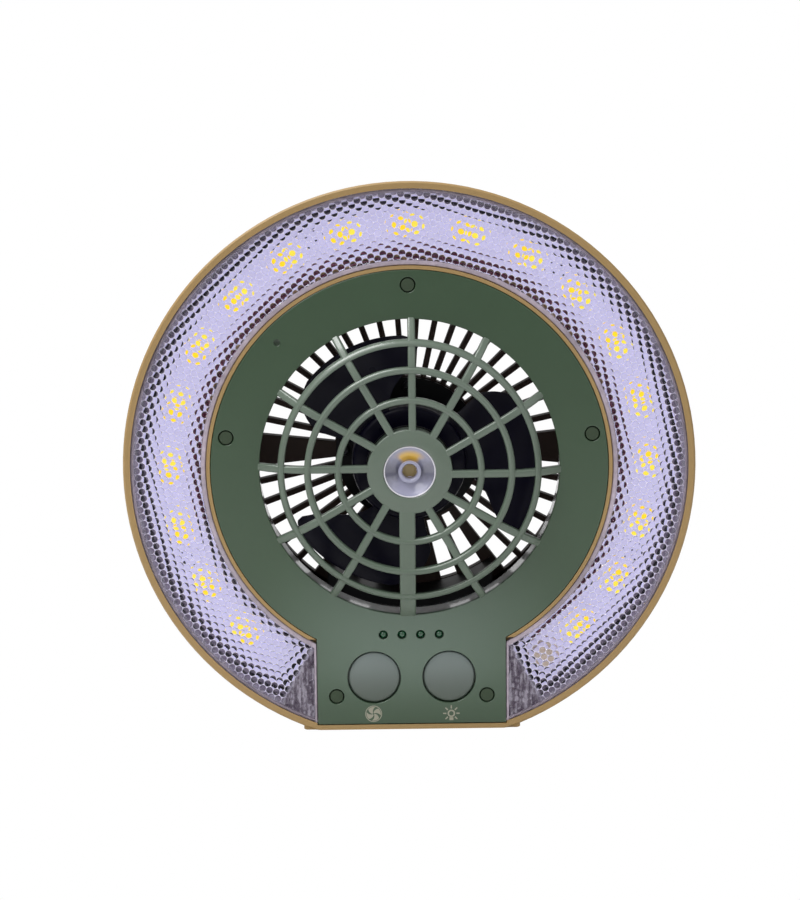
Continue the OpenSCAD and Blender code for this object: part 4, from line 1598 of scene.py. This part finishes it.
@dataclass
class Marks:
    """Printed signs for the fan and the lamp under the buttons.

    Attributes:
        fan: Place of the fan sign.
        lamp: Place of the lamp sign.
        high: Height of the print's face.
    """

    fan: Point = (-14.3, -92.6)
    lamp: Point = (14.6, -92.8)
    high: float = 24.035

    def flat(self, *loops: Line) -> Mesh:
        """Return a thin print in the given outline, with any holes after it."""
        return plate("mark", loops, FRONT - 0.03, self.high)

    def petal(self) -> Mesh:
        """Return one curved blade of the fan sign.

        Returns:
            A closed mesh in millimetres.
        """
        near, far, span, swirl = 0.35, 2.65, 62.0, 42.0
        edge = [(near + (far - near) * k / 8, swirl * k / 8) for k in range(9)]
        first = [polar(radius, angle) for radius, angle in edge]
        rim = [polar(far, swirl + span * k / 6) for k in range(1, 6)]
        last = [polar(radius, angle + span) for radius, angle in reversed(edge)]
        return self.flat(first + rim + last)

    def ray(self) -> Mesh:
        """Return one ray of the lamp sign."""
        corners = [(-0.27, 1.85), (0.27, 1.85), (0.22, 3.1), (-0.22, 3.1)]
        return self.flat(rounded(corners, 0.12, 3, True))

    def sign(self, name: str, place: Point, parts: Sequence[Mesh]) -> Mesh:
        """Join the parts of a sign and move it to its place."""
        made = joined(name, parts)
        made.transform(Matrix.Translation((*place, 0)))
        return made

    def build(self) -> None:
        """Build both signs as one print."""
        middle = (0.0, 0.0)
        blades = ring_of("fan_sign", self.petal(), 4, 90.0, 0.0, 0.0, PRINT)
        rim = self.flat(circle(middle, 3.12, 48), circle(middle, 2.82, 48))
        rays = ring_of("lamp_sign", self.ray(), 7, 45.0, 225.0, 0.0, PRINT)
        bulb = self.flat(circle(middle, 1.42, 32), circle(middle, 0.85, 24))
        base = self.flat([(-0.75, -2.6), (0.75, -2.6), (0.75, -1.5), (-0.75, -1.5)])
        signs = [
            self.sign("fan_sign", self.fan, [blades, rim]),
            self.sign("lamp_sign", self.lamp, [rays, bulb, base]),
        ]
        Piece("marks", Body.HOUSING, "grey_button", PRINT).build(joined("marks", signs))


@dataclass
class Controls:
    """The two push buttons.

    Attributes:
        radius: Radius of a button.
    """

    radius: float = 9.5

    def build(self) -> None:
        """Build the fan button and the light button."""
        r = self.radius
        skirt = [(0.0, 19.6), (r + 1.3, 19.6), (r + 1.3, 20.8), (r, 20.8)]
        crown = [(8.3, 23.62), (6.0, 23.84), (3.2, 24.0), (0.0, 24.08)]
        face = rounded([(r, 21.0), (r, 23.25), *crown], 0.7)
        for label, body, place in zip(("fan", "light"), (Body.FAN_KEY, Body.LIGHT_KEY), BUTTONS):
            cap = lathe(label + "_cap", [*skirt, *face], 96, place)
            node = label + "_button"
            Piece(label + "_key_cap", body, "grey_button", BUTTON, (node,), 40.0).build(cap)


@dataclass
class SpotLamp:
    """Clear spot lens with a collar over its chip lamp.

    Attributes:
        radius: Radius of the lens.
        wall: Radius of the cone's mouth.
        rear: Height of the lens's rear end.
        front: Height of its rim.
    """

    radius: float = 9.53
    wall: float = 9.05
    rear: float = 27.0
    front: float = 32.15

    def cone(self) -> Mesh:
        """Return the cone with the collar round its bore.

        Returns:
            A closed mesh in millimetres.
        """
        top, wide = self.front, self.wall
        dish = rounded([(wide, top - 0.3), (8.1, top - 1.0), (5.6, top - 2.1), (4.15, top - 2.5)], 0.6)
        collar = rounded([(4.15, top - 0.75), (3.1, top - 0.55), (2.62, top - 1.6)], 0.45)
        bore = [(2.55, self.rear + 0.45), (3.4, self.rear + 0.2), (5.4, self.rear)]
        wall = [(6.9, 28.2), (8.4, 29.4), (wide, 30.3), (wide, top - 0.4)]
        return lathe("cone", [*wall, *dish, *collar, *bore], 112, closed=True)

    def rim(self) -> Mesh:
        """Return the polished rim that laps over the hub's seat."""
        top, far, near, low = self.front, self.radius, 9.02, 30.35
        face = rounded([(far, 31.5), (far, top), (near, top), (near, top - 0.6)], 0.3)
        return lathe("rim", [*face, (near, low), (10.0, low), (10.0, 31.45)], 112, closed=True)

    def block(self, half: float, low: float, high: float, bevel: float) -> Mesh:
        """Return a square block about the fan's axis."""
        return box_mesh((-half, -half, low), (half, half, high), bevel)

    def build(self) -> None:
        """Build the cone, its rim and the chip."""
        optic = Piece("spot_optic", Body.HOUSING, "clear_lens", SPOT_LENS, ("spot_lens",), 30.0)
        optic.build(self.cone())
        Piece("spot_ring", Body.HOUSING, "clear_lens", SPOT_RIM).build(self.rim())
        chip = self.block(1.75, 27.0, 27.3, 0.08)
        Piece("spot_chip", Body.HOUSING, "led_phosphor", SPOT_LED, ("spot_led",)).build(chip)
        case = self.block(2.5, 26.5, 27.05, 0.12)
        Piece("spot_case", Body.HOUSING, "led_phosphor", SPOT_LED).build(case)


# ---------------------------------------------------------------- air path


@dataclass
class FanWheel:
    """Three-bladed wheel with a smooth hub.

    Attributes:
        hub: Radius of the hub.
        tip: Radius of the blade tips.
        first: Clock angle of the first blade.
        thick: Greatest thickness of a blade.
        edge: Thickness at the edges, as a share of the greatest.
        camber: Depth of a blade's hollow.
        rings: Steps along a blade.
        steps: Steps across it.
        rear_line: Radius and clock angle along the rear edge.
        front_line: Radius and clock angle along the front edge.
    """

    hub: float = 21.2
    tip: float = 48.0
    first: float = 82.7
    thick: float = 1.6
    edge: float = 0.3
    camber: float = 1.6
    rings: int = 26
    steps: int = 28
    rear_line: tuple[Point, ...] = (
        (18, -36), (36, -35.4), (40.5, -31), (44, -26.5), (46.5, -21.5), (48, -14)
    )
    front_line: tuple[Point, ...] = (
        (18, 14), (24, 20), (28.6, 26), (34, 35), (38, 39.5), (44, 42), (46.5, 41), (48, 35)
    )

    @staticmethod
    def along(line: Line, radius: float) -> float:
        """Return the angle of an edge line at a radius."""
        for (r0, a0), (r1, a1) in zip(line, line[1:]):
            if radius <= r1:
                return a0 + (a1 - a0) * (radius - r0) / (r1 - r0)
        return line[-1][1]

    @staticmethod
    def pitch_at(angle: float) -> float:
        """Return the height of a blade at a clock angle, on an even slope."""
        start, height, climb, span = 2, 10, 14, 78
        return height + climb * (angle - start) / span

    def skin(self, i: int, j: int) -> tuple[Place, Place]:
        """Return a blade's front and rear point.

        Args:
            i: Step from the hub to the tip.
            j: Step from the rear edge to the front edge.

        Returns:
            Both points, half the local thickness from the middle.
        """
        quarter = math.pi / 2 * i / self.rings
        radius = self.hub - 1 + (self.tip - self.hub + 1) * math.sin(quarter)
        share = 0.5 - 0.5 * math.cos(math.pi * j / self.steps)
        angle = self.along(self.rear_line, radius) * (1 - share)
        angle += self.along(self.front_line, radius) * share
        x, y = polar(radius, angle)
        middle = self.pitch_at(angle) - self.camber * math.sin(math.pi * share)
        belly = min(1.0, self.edge + 2.2 * math.sqrt(max(0.0, share * (1 - share))))
        half = self.thick / 2 * min(belly, self.edge + 1.4 * math.cos(quarter))
        return (x, y, middle + half), (x, y, middle - half)

    def blade(self) -> Mesh:
        """Return one twisted, cambered blade with thin edges.

        Returns:
            A closed mesh in millimetres.
        """
        rings, steps = self.rings, self.steps
        front, rear = zip(*(self.skin(i, j) for i in range(rings + 1) for j in range(steps + 1)))
        row, total = steps + 1, len(front)
        faces: list[list[int]] = []
        for i in range(rings):
            for j in range(steps):
                a = i * row + j
                faces.append([a, a + row, a + row + 1, a + 1])
                faces.append([a + 1 + total, a + row + 1 + total, a + row + total, a + total])
        edge = list(range(steps)) + [i * row + steps for i in range(rings)]
        edge += [rings * row + j for j in range(steps, 0, -1)] + [i * row for i in range(rings, 0, -1)]
        faces += [[a, b, b + total, a + total] for a, b in zip(edge, edge[1:] + edge[:1])]
        return mesh_from("blade", front + rear, faces)

    def hub_shell(self) -> Mesh:
        """Return the hub with a rounded front edge, a thin wall and a sleeve for the shaft.

        Returns:
            A closed mesh in millimetres.
        """
        rear, floor, wall = -2.0, 12.4, 19.6
        face = [(0.0, 13.7), (12.6, 13.7)]
        corners = [(13.2, 14.0), (self.hub - 1.0, 14.0), (self.hub, 12.6), (self.hub, rear)]
        edge = rounded(corners, 0.9, 6)
        sleeve = [(3.0, floor), (3.0, 9.4), (1.5, 9.4), (1.5, floor), (0.0, floor)]
        return lathe("hub_shell", [*face, *edge, (wall, rear), (wall, floor), *sleeve], 144)

    def build(self) -> None:
        """Build the wheel."""
        blades = ring_of("blades", self.blade(), 3, 120.0, self.first, 0.0, WHEEL)
        Piece("wheel", Body.FAN_WHEEL, "black_plastic", WHEEL, ("impeller",), 50.0).build(
            joined("wheel", [self.hub_shell(), blades])
        )


@dataclass
class RearGrille:
    """Slatted grille at the rear with its closed disc and battery cover.

    Attributes:
        open_radius: Radius of the hole in the case.
        disc: Radius of the closed disc.
        slat: Width of a slat.
        places: Number of slat positions.
        low: Height of the rear face.
        high: Height of the front face.
        lower: Half the angle of the closed field at the bottom.
    """

    open_radius: float = 61.9
    disc: float = 28.0
    slat: float = 2.1
    places: int = 44
    low: float = -23.9
    high: float = -19.0
    lower: float = 37.4

    def sector(self, r0: float, r1: float, a0: float, a1: float) -> list[Point]:
        """Return the outline of a ring sector between two clock angles."""
        steps = max(2, int(abs(a1 - a0) / 3))
        first, last = math.radians(90 - a0), math.radians(90 - a1)
        return arc(r1, first, last, steps) + arc(r0, last, first, steps)

    def frame_plate(self) -> Mesh:
        """Return the rim, the disc and the closed fields as one plate.

        Returns:
            A closed mesh in millimetres.
        """
        wing = 6.2
        rim = self.open_radius - 2.1
        bounds = (90 + wing, 180 - self.lower, 180 + self.lower, 270 - wing, 270 + wing, 450 - wing)
        holes = [self.sector(self.disc, rim, *bounds[k:k + 2]) for k in (0, 2, 4)]
        for low, high in ((13.3, 20.4), (25.0, 31.7)):
            for side in (1, -1):
                first, last = sorted((180 + side * low, 180 + side * high))
                holes.append(self.sector(self.disc + 1, 52.3, first, last))
        outline = circle((0, 0), self.open_radius, 160)
        return plate("grille", [outline, *holes], self.low, self.high, 0.35)

    def ridge(self, radius: float) -> Mesh:
        """Return one round ridge on the rear of the disc.

        Args:
            radius: Mean radius of the ridge.

        Returns:
            A closed mesh in millimetres.
        """
        foot, crest = 0.9, 0.5
        inset, low = self.low + 0.3, self.low - 0.35
        corners = ((-foot, inset), (-crest, low), (crest, low), (foot, inset))
        section = rounded([(radius + x, height) for x, height in corners], 0.25, 3, True)
        return lathe("ridge", section, 96, closed=True)

    def slats(self) -> list[Mesh]:
        """Return the runs of slats between the closed fields.

        Returns:
            One mesh for each run.
        """
        half, inset = self.slat / 2, 0.05
        near = (-half, self.disc - 1, self.low + inset)
        far = (half, self.open_radius - 1.4, self.high - inset)
        bar = box_mesh(near, far, 0.4)
        pitch = 360 / self.places
        angles = [(k + 0.5) * pitch for k in range(self.places)]

        def shut(k: int) -> bool:
            """Tell whether a slat position lies in a closed field."""
            webs = min(abs(angles[k] - 90), abs(angles[k] - 270))
            return abs(angles[k] - 180) < self.lower or webs < 5.0

        runs = [list(run) for closed, run in groupby(range(self.places), key=shut) if not closed]
        return [
            ring_of(f"slats_{run[0]}", bar, len(run), pitch, angles[run[0]], 0.0, BROWN) for run in runs
        ]

    def build(self) -> None:
        """Build the grille."""
        bore, far, rear, front = 59.9, 65.2, -21.6, -19.0
        lip = [(bore, rear), (far, rear), (far, front - 0.2), (far - 0.2, front), (bore, front)]
        flange = lathe("flange", lip, 144, closed=True)
        ridges = [self.ridge(radius) for radius in (8.5, 17.0, 25.5)]
        Piece("slat_grille", Body.HOUSING, "brown_grille", BROWN, ("rear_grille",)).build(
            joined("slat_grille", [self.frame_plate(), flange, *ridges, *self.slats()])
        )


# ---------------------------------------------------------------- fasteners and small parts


@dataclass(frozen=True)
class ScrewSet:
    """One set of equal screws with a pan head and a cross recess.

    Attributes:
        node: CAD node that the set stands for.
        head: Radius of the head.
        thick: Height of the head.
        shank: Radius of the shank.
        length: Length of the shank.
        seat: Height of the face under the head.
        places: Places of the screws.
        finish: Finish of the screws.
        faces_rear: Whether the heads look to the rear.
    """

    node: str
    head: float
    thick: float
    shank: float
    length: float
    seat: float
    places: Line
    finish: Finish
    faces_rear: bool = False

    def screw(self) -> Mesh:
        """Return one screw with its seat at height 0, head up.

        Returns:
            A closed mesh in millimetres.
        """
        r, t, s = self.head, self.thick, self.shank
        thread = [(0.0, -self.length), (s * 0.45, -self.length + s * 0.8)]
        turns = max(3, int(self.length / 1.4))
        for k in range(turns):
            z = -self.length + s * 1.2 + (self.length - s * 1.4) * k / turns
            thread += [(s * 0.82, z), (s * 0.99, z + 0.3)]
        crown = rounded([(r, 0.0), (r, t * 0.72), (r * 0.6, t * 0.97), (0.0, t)], r * 0.3, 4)
        body = lathe("screw", [*thread, (s * 0.9, 0.0), *crown], 28)
        arm, blade, deep = r * 0.56, r * 0.13, t * 0.35
        for wide, high, step in ((arm, blade, 0.0), (blade, arm, 0.01)):
            low, top = (-wide, -high, deep + step), (wide, high, t + 1 - step)
            body = carved(body, box_mesh(low, top))
        if self.faces_rear:
            body.transform(Matrix.Rotation(math.pi, 4, "X"))
        return body

    def build(self) -> None:
        """Build the set."""
        spots = [(x, y, self.seat) for x, y in self.places]
        Piece(self.node + "_set", Body.HOUSING, "zinc_steel", self.finish, (self.node,)).build(
            spread(self.node + "_rule", self.screw(), spots, self.finish)
        )


@dataclass
class Fasteners:
    """All screws of the object.

    Attributes:
        case: Radius of the ring of case screws.
        grille: Radius of the ring of grille screws.
        motor: Radius of the ring of motor screws.
        board: Distance of the board screws from the middle.
        board_heights: Heights of the board screws.
    """

    case: float = 88.0
    grille: float = 63.6
    motor: float = 24.2
    board: float = 19.5
    board_heights: Point = (-62.6, -91.2)

    def build(self) -> None:
        """Build every set."""
        case, grille, motor = (
            [polar(radius, angle) for angle in angles]
            for radius, angles in (
                (self.case, (22, 75, 140, 220, 285, 338)),
                (self.grille, (45, 135, 225, 315)),
                (self.motor, (0, 90, 180, 270)),
            )
        )
        board = [(x, y) for x in (self.board, -self.board) for y in self.board_heights]
        for screws in (
            ScrewSet("case_screws", 2.8, 1.8, 1.24, 16.0, -8.0, case, ZINC, faces_rear=True),
            ScrewSet("grille_screws", 1.45, 1.0, 0.74, 3.4, -19.0, grille, ZINC),
            ScrewSet("motor_screws", 2.1, 1.4, 0.89, 5.0, -17.0, motor, DARK_SCREW),
            ScrewSet("board_screws", 1.9, 1.2, 0.89, 6.0, 15.0, board, ZINC),
            ScrewSet("panel_screws", 2.5, 1.8, 1.24, 12.0, 19.0, PLUGS, ZINC),
        ):
            screws.build()


@dataclass
class PortDoor:
    """Hinged door over the sockets, with a grip lip and a ribbed edge.

    Attributes:
        near: Edge of the door towards the fan's axis.
        far: Edge of the door at the hinge.
        low: Lower end of the door.
        high: Upper end of the door.
        back: Height of the outer face.
        front: Height of the inner face.
        hinge: Place of the hinge axis, to the right and height.
        rib_pitch: Distance from one rib to the next.
    """

    near: float = 64.6
    far: float = 77.9
    low: float = -46.0
    high: float = -16.0
    back: float = -26.05
    front: float = -24.35
    hinge: Point = (78.7, -25.65)
    rib_pitch: float = 1.6

    def rod(self, radius: float, beyond: float) -> Mesh:
        """Return a rod along the hinge axis with rounded ends.

        Args:
            radius: Radius of the rod.
            beyond: Length by which it stands over each end of the door.

        Returns:
            A closed mesh in millimetres.
        """
        low, high = self.low - beyond, self.high + beyond
        section = rounded([(0.0, low), (radius, low), (radius, high), (0.0, high)], radius * 0.3)
        made = lathe("rod", section, 32)
        made.transform(Matrix.Rotation(math.radians(-90), 4, "X"))
        made.transform(Matrix.Translation((self.hinge[0], 0, self.hinge[1])))
        return made

    def block(self, x: Point, y: Point, z: Point, bevel: float) -> Mesh:
        """Return a block between pairs of limits, counted from the door's edge and middle.

        Args:
            x: Limits from the door's near edge.
            y: Limits from the middle of its height.
            z: Limits in height.
            bevel: Width of its rounded edges.

        Returns:
            A closed mesh in millimetres.
        """
        middle = (self.low + self.high) / 2
        low, high = ((self.near + x[i], middle + y[i], z[i]) for i in (0, 1))
        return box_mesh(low, high, bevel)

    def build(self) -> None:
        """Build the door."""
        half, depth = (self.high - self.low) / 2, (self.back, self.front)
        leaf = self.block((0.0, self.far - self.near), (-half, half), depth, 0.45)
        lip = self.block((-0.8, 0.4), (-4.0, 4.0), depth, 0.3)
        raised = (self.back - 0.22, self.back + 0.2)
        steps = [self.rib_pitch * k for k in range(-2, 3)]
        ribs = [self.block((1.2, 3.6), (step - 0.3, step + 0.3), raised, 0.12) for step in steps]
        barrel, pin = self.rod(1.3, 0.0), self.rod(0.8, 2.6)
        Piece("door_leaf", Body.DOOR, "tan_shell", TAN, ("port_door",)).build(
            joined("door_leaf", [leaf, lip, *ribs, barrel, pin])
        )


@dataclass
class StandCaps:
    """Caps on the inner ends of the wire stand.

    Attributes:
        side: Distance of a cap from the middle.
        rise: Height of the pivot above the fan's axis.
        back: Height of the pivot.
        radius: Radius of a cap.
        hole: Radius of its hole.
        half: Half its thickness.
    """

    side: float = 50.4
    rise: float = 41.0
    back: float = -27.0
    radius: float = 4.0
    hole: float = 2.5
    half: float = 0.7

    def build(self) -> None:
        """Build both caps."""
        r, t = self.radius, self.half
        rim = rounded([(self.hole, -t), (r, -t), (r, t), (self.hole, t)], 0.4, 3, True)
        cap = lathe("cap", rim, 48, closed=True)
        cap.transform(Matrix.Rotation(math.radians(90), 4, "Y"))
        places = [(side, self.rise, self.back) for side in (-self.side, self.side)]
        Piece("stand_caps", Body.STAND, "black_plastic", BLACK, ("bail_caps",)).build(
            spread("caps", cap, places, BLACK)
        )


# ---------------------------------------------------------------- the set


@dataclass
class Studio:
    """Floor, light and camera.

    Attributes:
        eye: Place of the camera in metres.
        aim: Point that the camera looks at, in metres.
        roll: Roll of the camera in degrees.
        lens: Focal length on a 36 mm sensor.
        shift: Shift of the view.
        reach: Half the side of the floor, in metres.
        spot: Distances over which the floor's painted pool of light fades, in metres.
        sky: Strength of the light from all sides.
        lamps: Name, place, side in metres and power in watts of each lamp.
    """

    eye: Place = (-0.0090, -1.0575, 0.2838)
    aim: Place = (0.0, -0.024, 0.0986)
    roll: float = -0.6
    lens: float = 114.7
    shift: Point = (-0.0106, 0.0202)
    reach: float = 6.0
    spot: Point = (0.25, 1.1)
    sky: float = 0.52
    lamps: tuple[tuple[str, Place, float, float], ...] = (
        ("key", (-0.9, -1.3, 1.3), 1.2, 9.0),
        ("fill", (1.2, -0.8, 0.7), 1.2, 3.0),
        ("top", (-0.62, -0.22, 1.35), 0.8, 20.0),
    )

    def floor(self) -> None:
        """Lay a pale floor with a painted pool of light round the object; camera rays see it plain
        white.
        """
        far = self.reach
        mesh = bpy.data.meshes.new("floor")
        corners = [(-far, -far, 0), (far, -far, 0), (far, far, 0), (-far, far, 0)]
        mesh.from_pydata(corners, [], [(0, 1, 2, 3)])
        paint = bpy.data.materials.new("floor_paint")
        graph = Graph.blank(paint)
        seen = graph.node("ShaderNodeLightPath", out="Is Camera Ray")
        where = graph.node("ShaderNodeTexCoord", out="Object")
        away = graph.node("ShaderNodeVectorMath", {0: where}, "Value", operation="LENGTH")
        # Painted pool of light: the floor is palest round the object and darker further away.
        tone = graph.mix(away.smooth(*self.spot), (0.82, 0.82, 0.82), (0.30, 0.30, 0.30))
        matt = graph.node("ShaderNodeBsdfDiffuse", {"Color": tone})
        white = graph.node("ShaderNodeEmission", {"Color": (1.0, 1.0, 1.0), "Strength": 1.0})
        graph.raw("ShaderNodeOutputMaterial", {"Surface": graph.blend(seen, matt, white)})
        mesh.materials.append(paint)
        shown("floor", mesh)

    def world(self) -> None:
        """Surround the set with even white light."""
        world = bpy.data.worlds.new("studio")
        bpy.context.scene.world = world
        graph = Graph.blank(world)
        rays = graph.raw("ShaderNodeLightPath").outputs
        direct, through = (Value(graph, rays[way]) for way in ("Is Camera Ray", "Is Transmission Ray"))
        plain, white = (
            graph.node("ShaderNodeBackground", {"Color": (1.0, 1.0, 1.0), "Strength": strength})
            for strength in (self.sky, 1.0)
        )
        surface = graph.blend(direct.least(through), plain, white)
        graph.raw("ShaderNodeOutputWorld", {"Surface": surface})

    def facing(self, place: Place) -> Quaternion:
        """Return the turn of a lamp or camera at a place that looks at the object."""
        return (Vector(self.aim) - Vector(place)).to_track_quat("-Z", "Y")

    def lamp(self, name: str, place: Place, size: float, power: float) -> None:
        """Hang one soft square lamp that faces the object.

        Args:
            name: Lamp name.
            place: Where it hangs, in metres.
            size: Side of the square, in metres.
            power: Power in watts.
        """
        light = bpy.data.lights.new(name, "AREA")
        light.energy = power
        light.size = size
        holder = shown(name, light)
        holder.location = place
        holder.rotation_euler = self.facing(place).to_euler()

    def camera(self) -> None:
        """Set the camera."""
        data = bpy.data.cameras.new("camera")
        data.lens = self.lens
        data.sensor_width = 36.0
        data.shift_x, data.shift_y = self.shift
        data.clip_end = 50.0
        holder = shown("camera", data)
        look = self.facing(self.eye).to_matrix().to_4x4()
        roll = Matrix.Rotation(math.radians(self.roll), 4, "Z")
        holder.matrix_world = Matrix.Translation(self.eye) @ look @ roll
        bpy.context.scene.camera = holder

    def build(self) -> None:
        """Build the set."""
        self.floor()
        self.world()
        for lamp in self.lamps:
            self.lamp(*lamp)
        self.camera()
        bpy.context.scene.view_settings.view_transform = "Standard"


DRESSED: tuple[tuple[Finish, str], ...] = (
    (TAN, "front_frame rear_cover"),
    (BOARD, "spot_board lamp_board"),
    (BLACK, "spot_cap motor_base battery_tray"),
    (BLACK_WIRE, "spot_wires"),
    (RED_WIRE, "motor_wires lamp_wires"),
    (CHIP, "fan_switch_stem light_switch_stem switch_bodies board_parts lamp_resistors"),
    (CONNECTOR, "lamp_connector"),
    (PCB, "main_board motor_board port_board"),
    (INDICATOR, "charge_leds"),
    (DUCT, "duct_ring"),
    (STEEL, "stator_core motor_bearings motor_shaft shaft_clip rotor_cup"),
    (COPPER, "stator_coils"),
    (MAGNET, "rotor_magnet"),
    (CELL, "battery_cells"),
    (NICKEL, "battery_tabs usb_c_socket usb_a_socket"),
    (STAND, "bail"),
)
BUILDERS = (
    RingLamp, GuardPanel, Marks, Controls, SpotLamp,
    FanWheel, RearGrille, Fasteners, PortDoor, StandCaps,
)


def main() -> None:
    """Build the whole scene in order."""
    logging.basicConfig(level=logging.INFO, format="%(message)s")
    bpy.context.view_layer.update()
    Studio().build()
    for finish, nodes in DRESSED:
        dress(finish, nodes.split())
    for builder in BUILDERS:
        builder().build()
    bpy.context.view_layer.update()


if __name__ == "__main__":
    main()
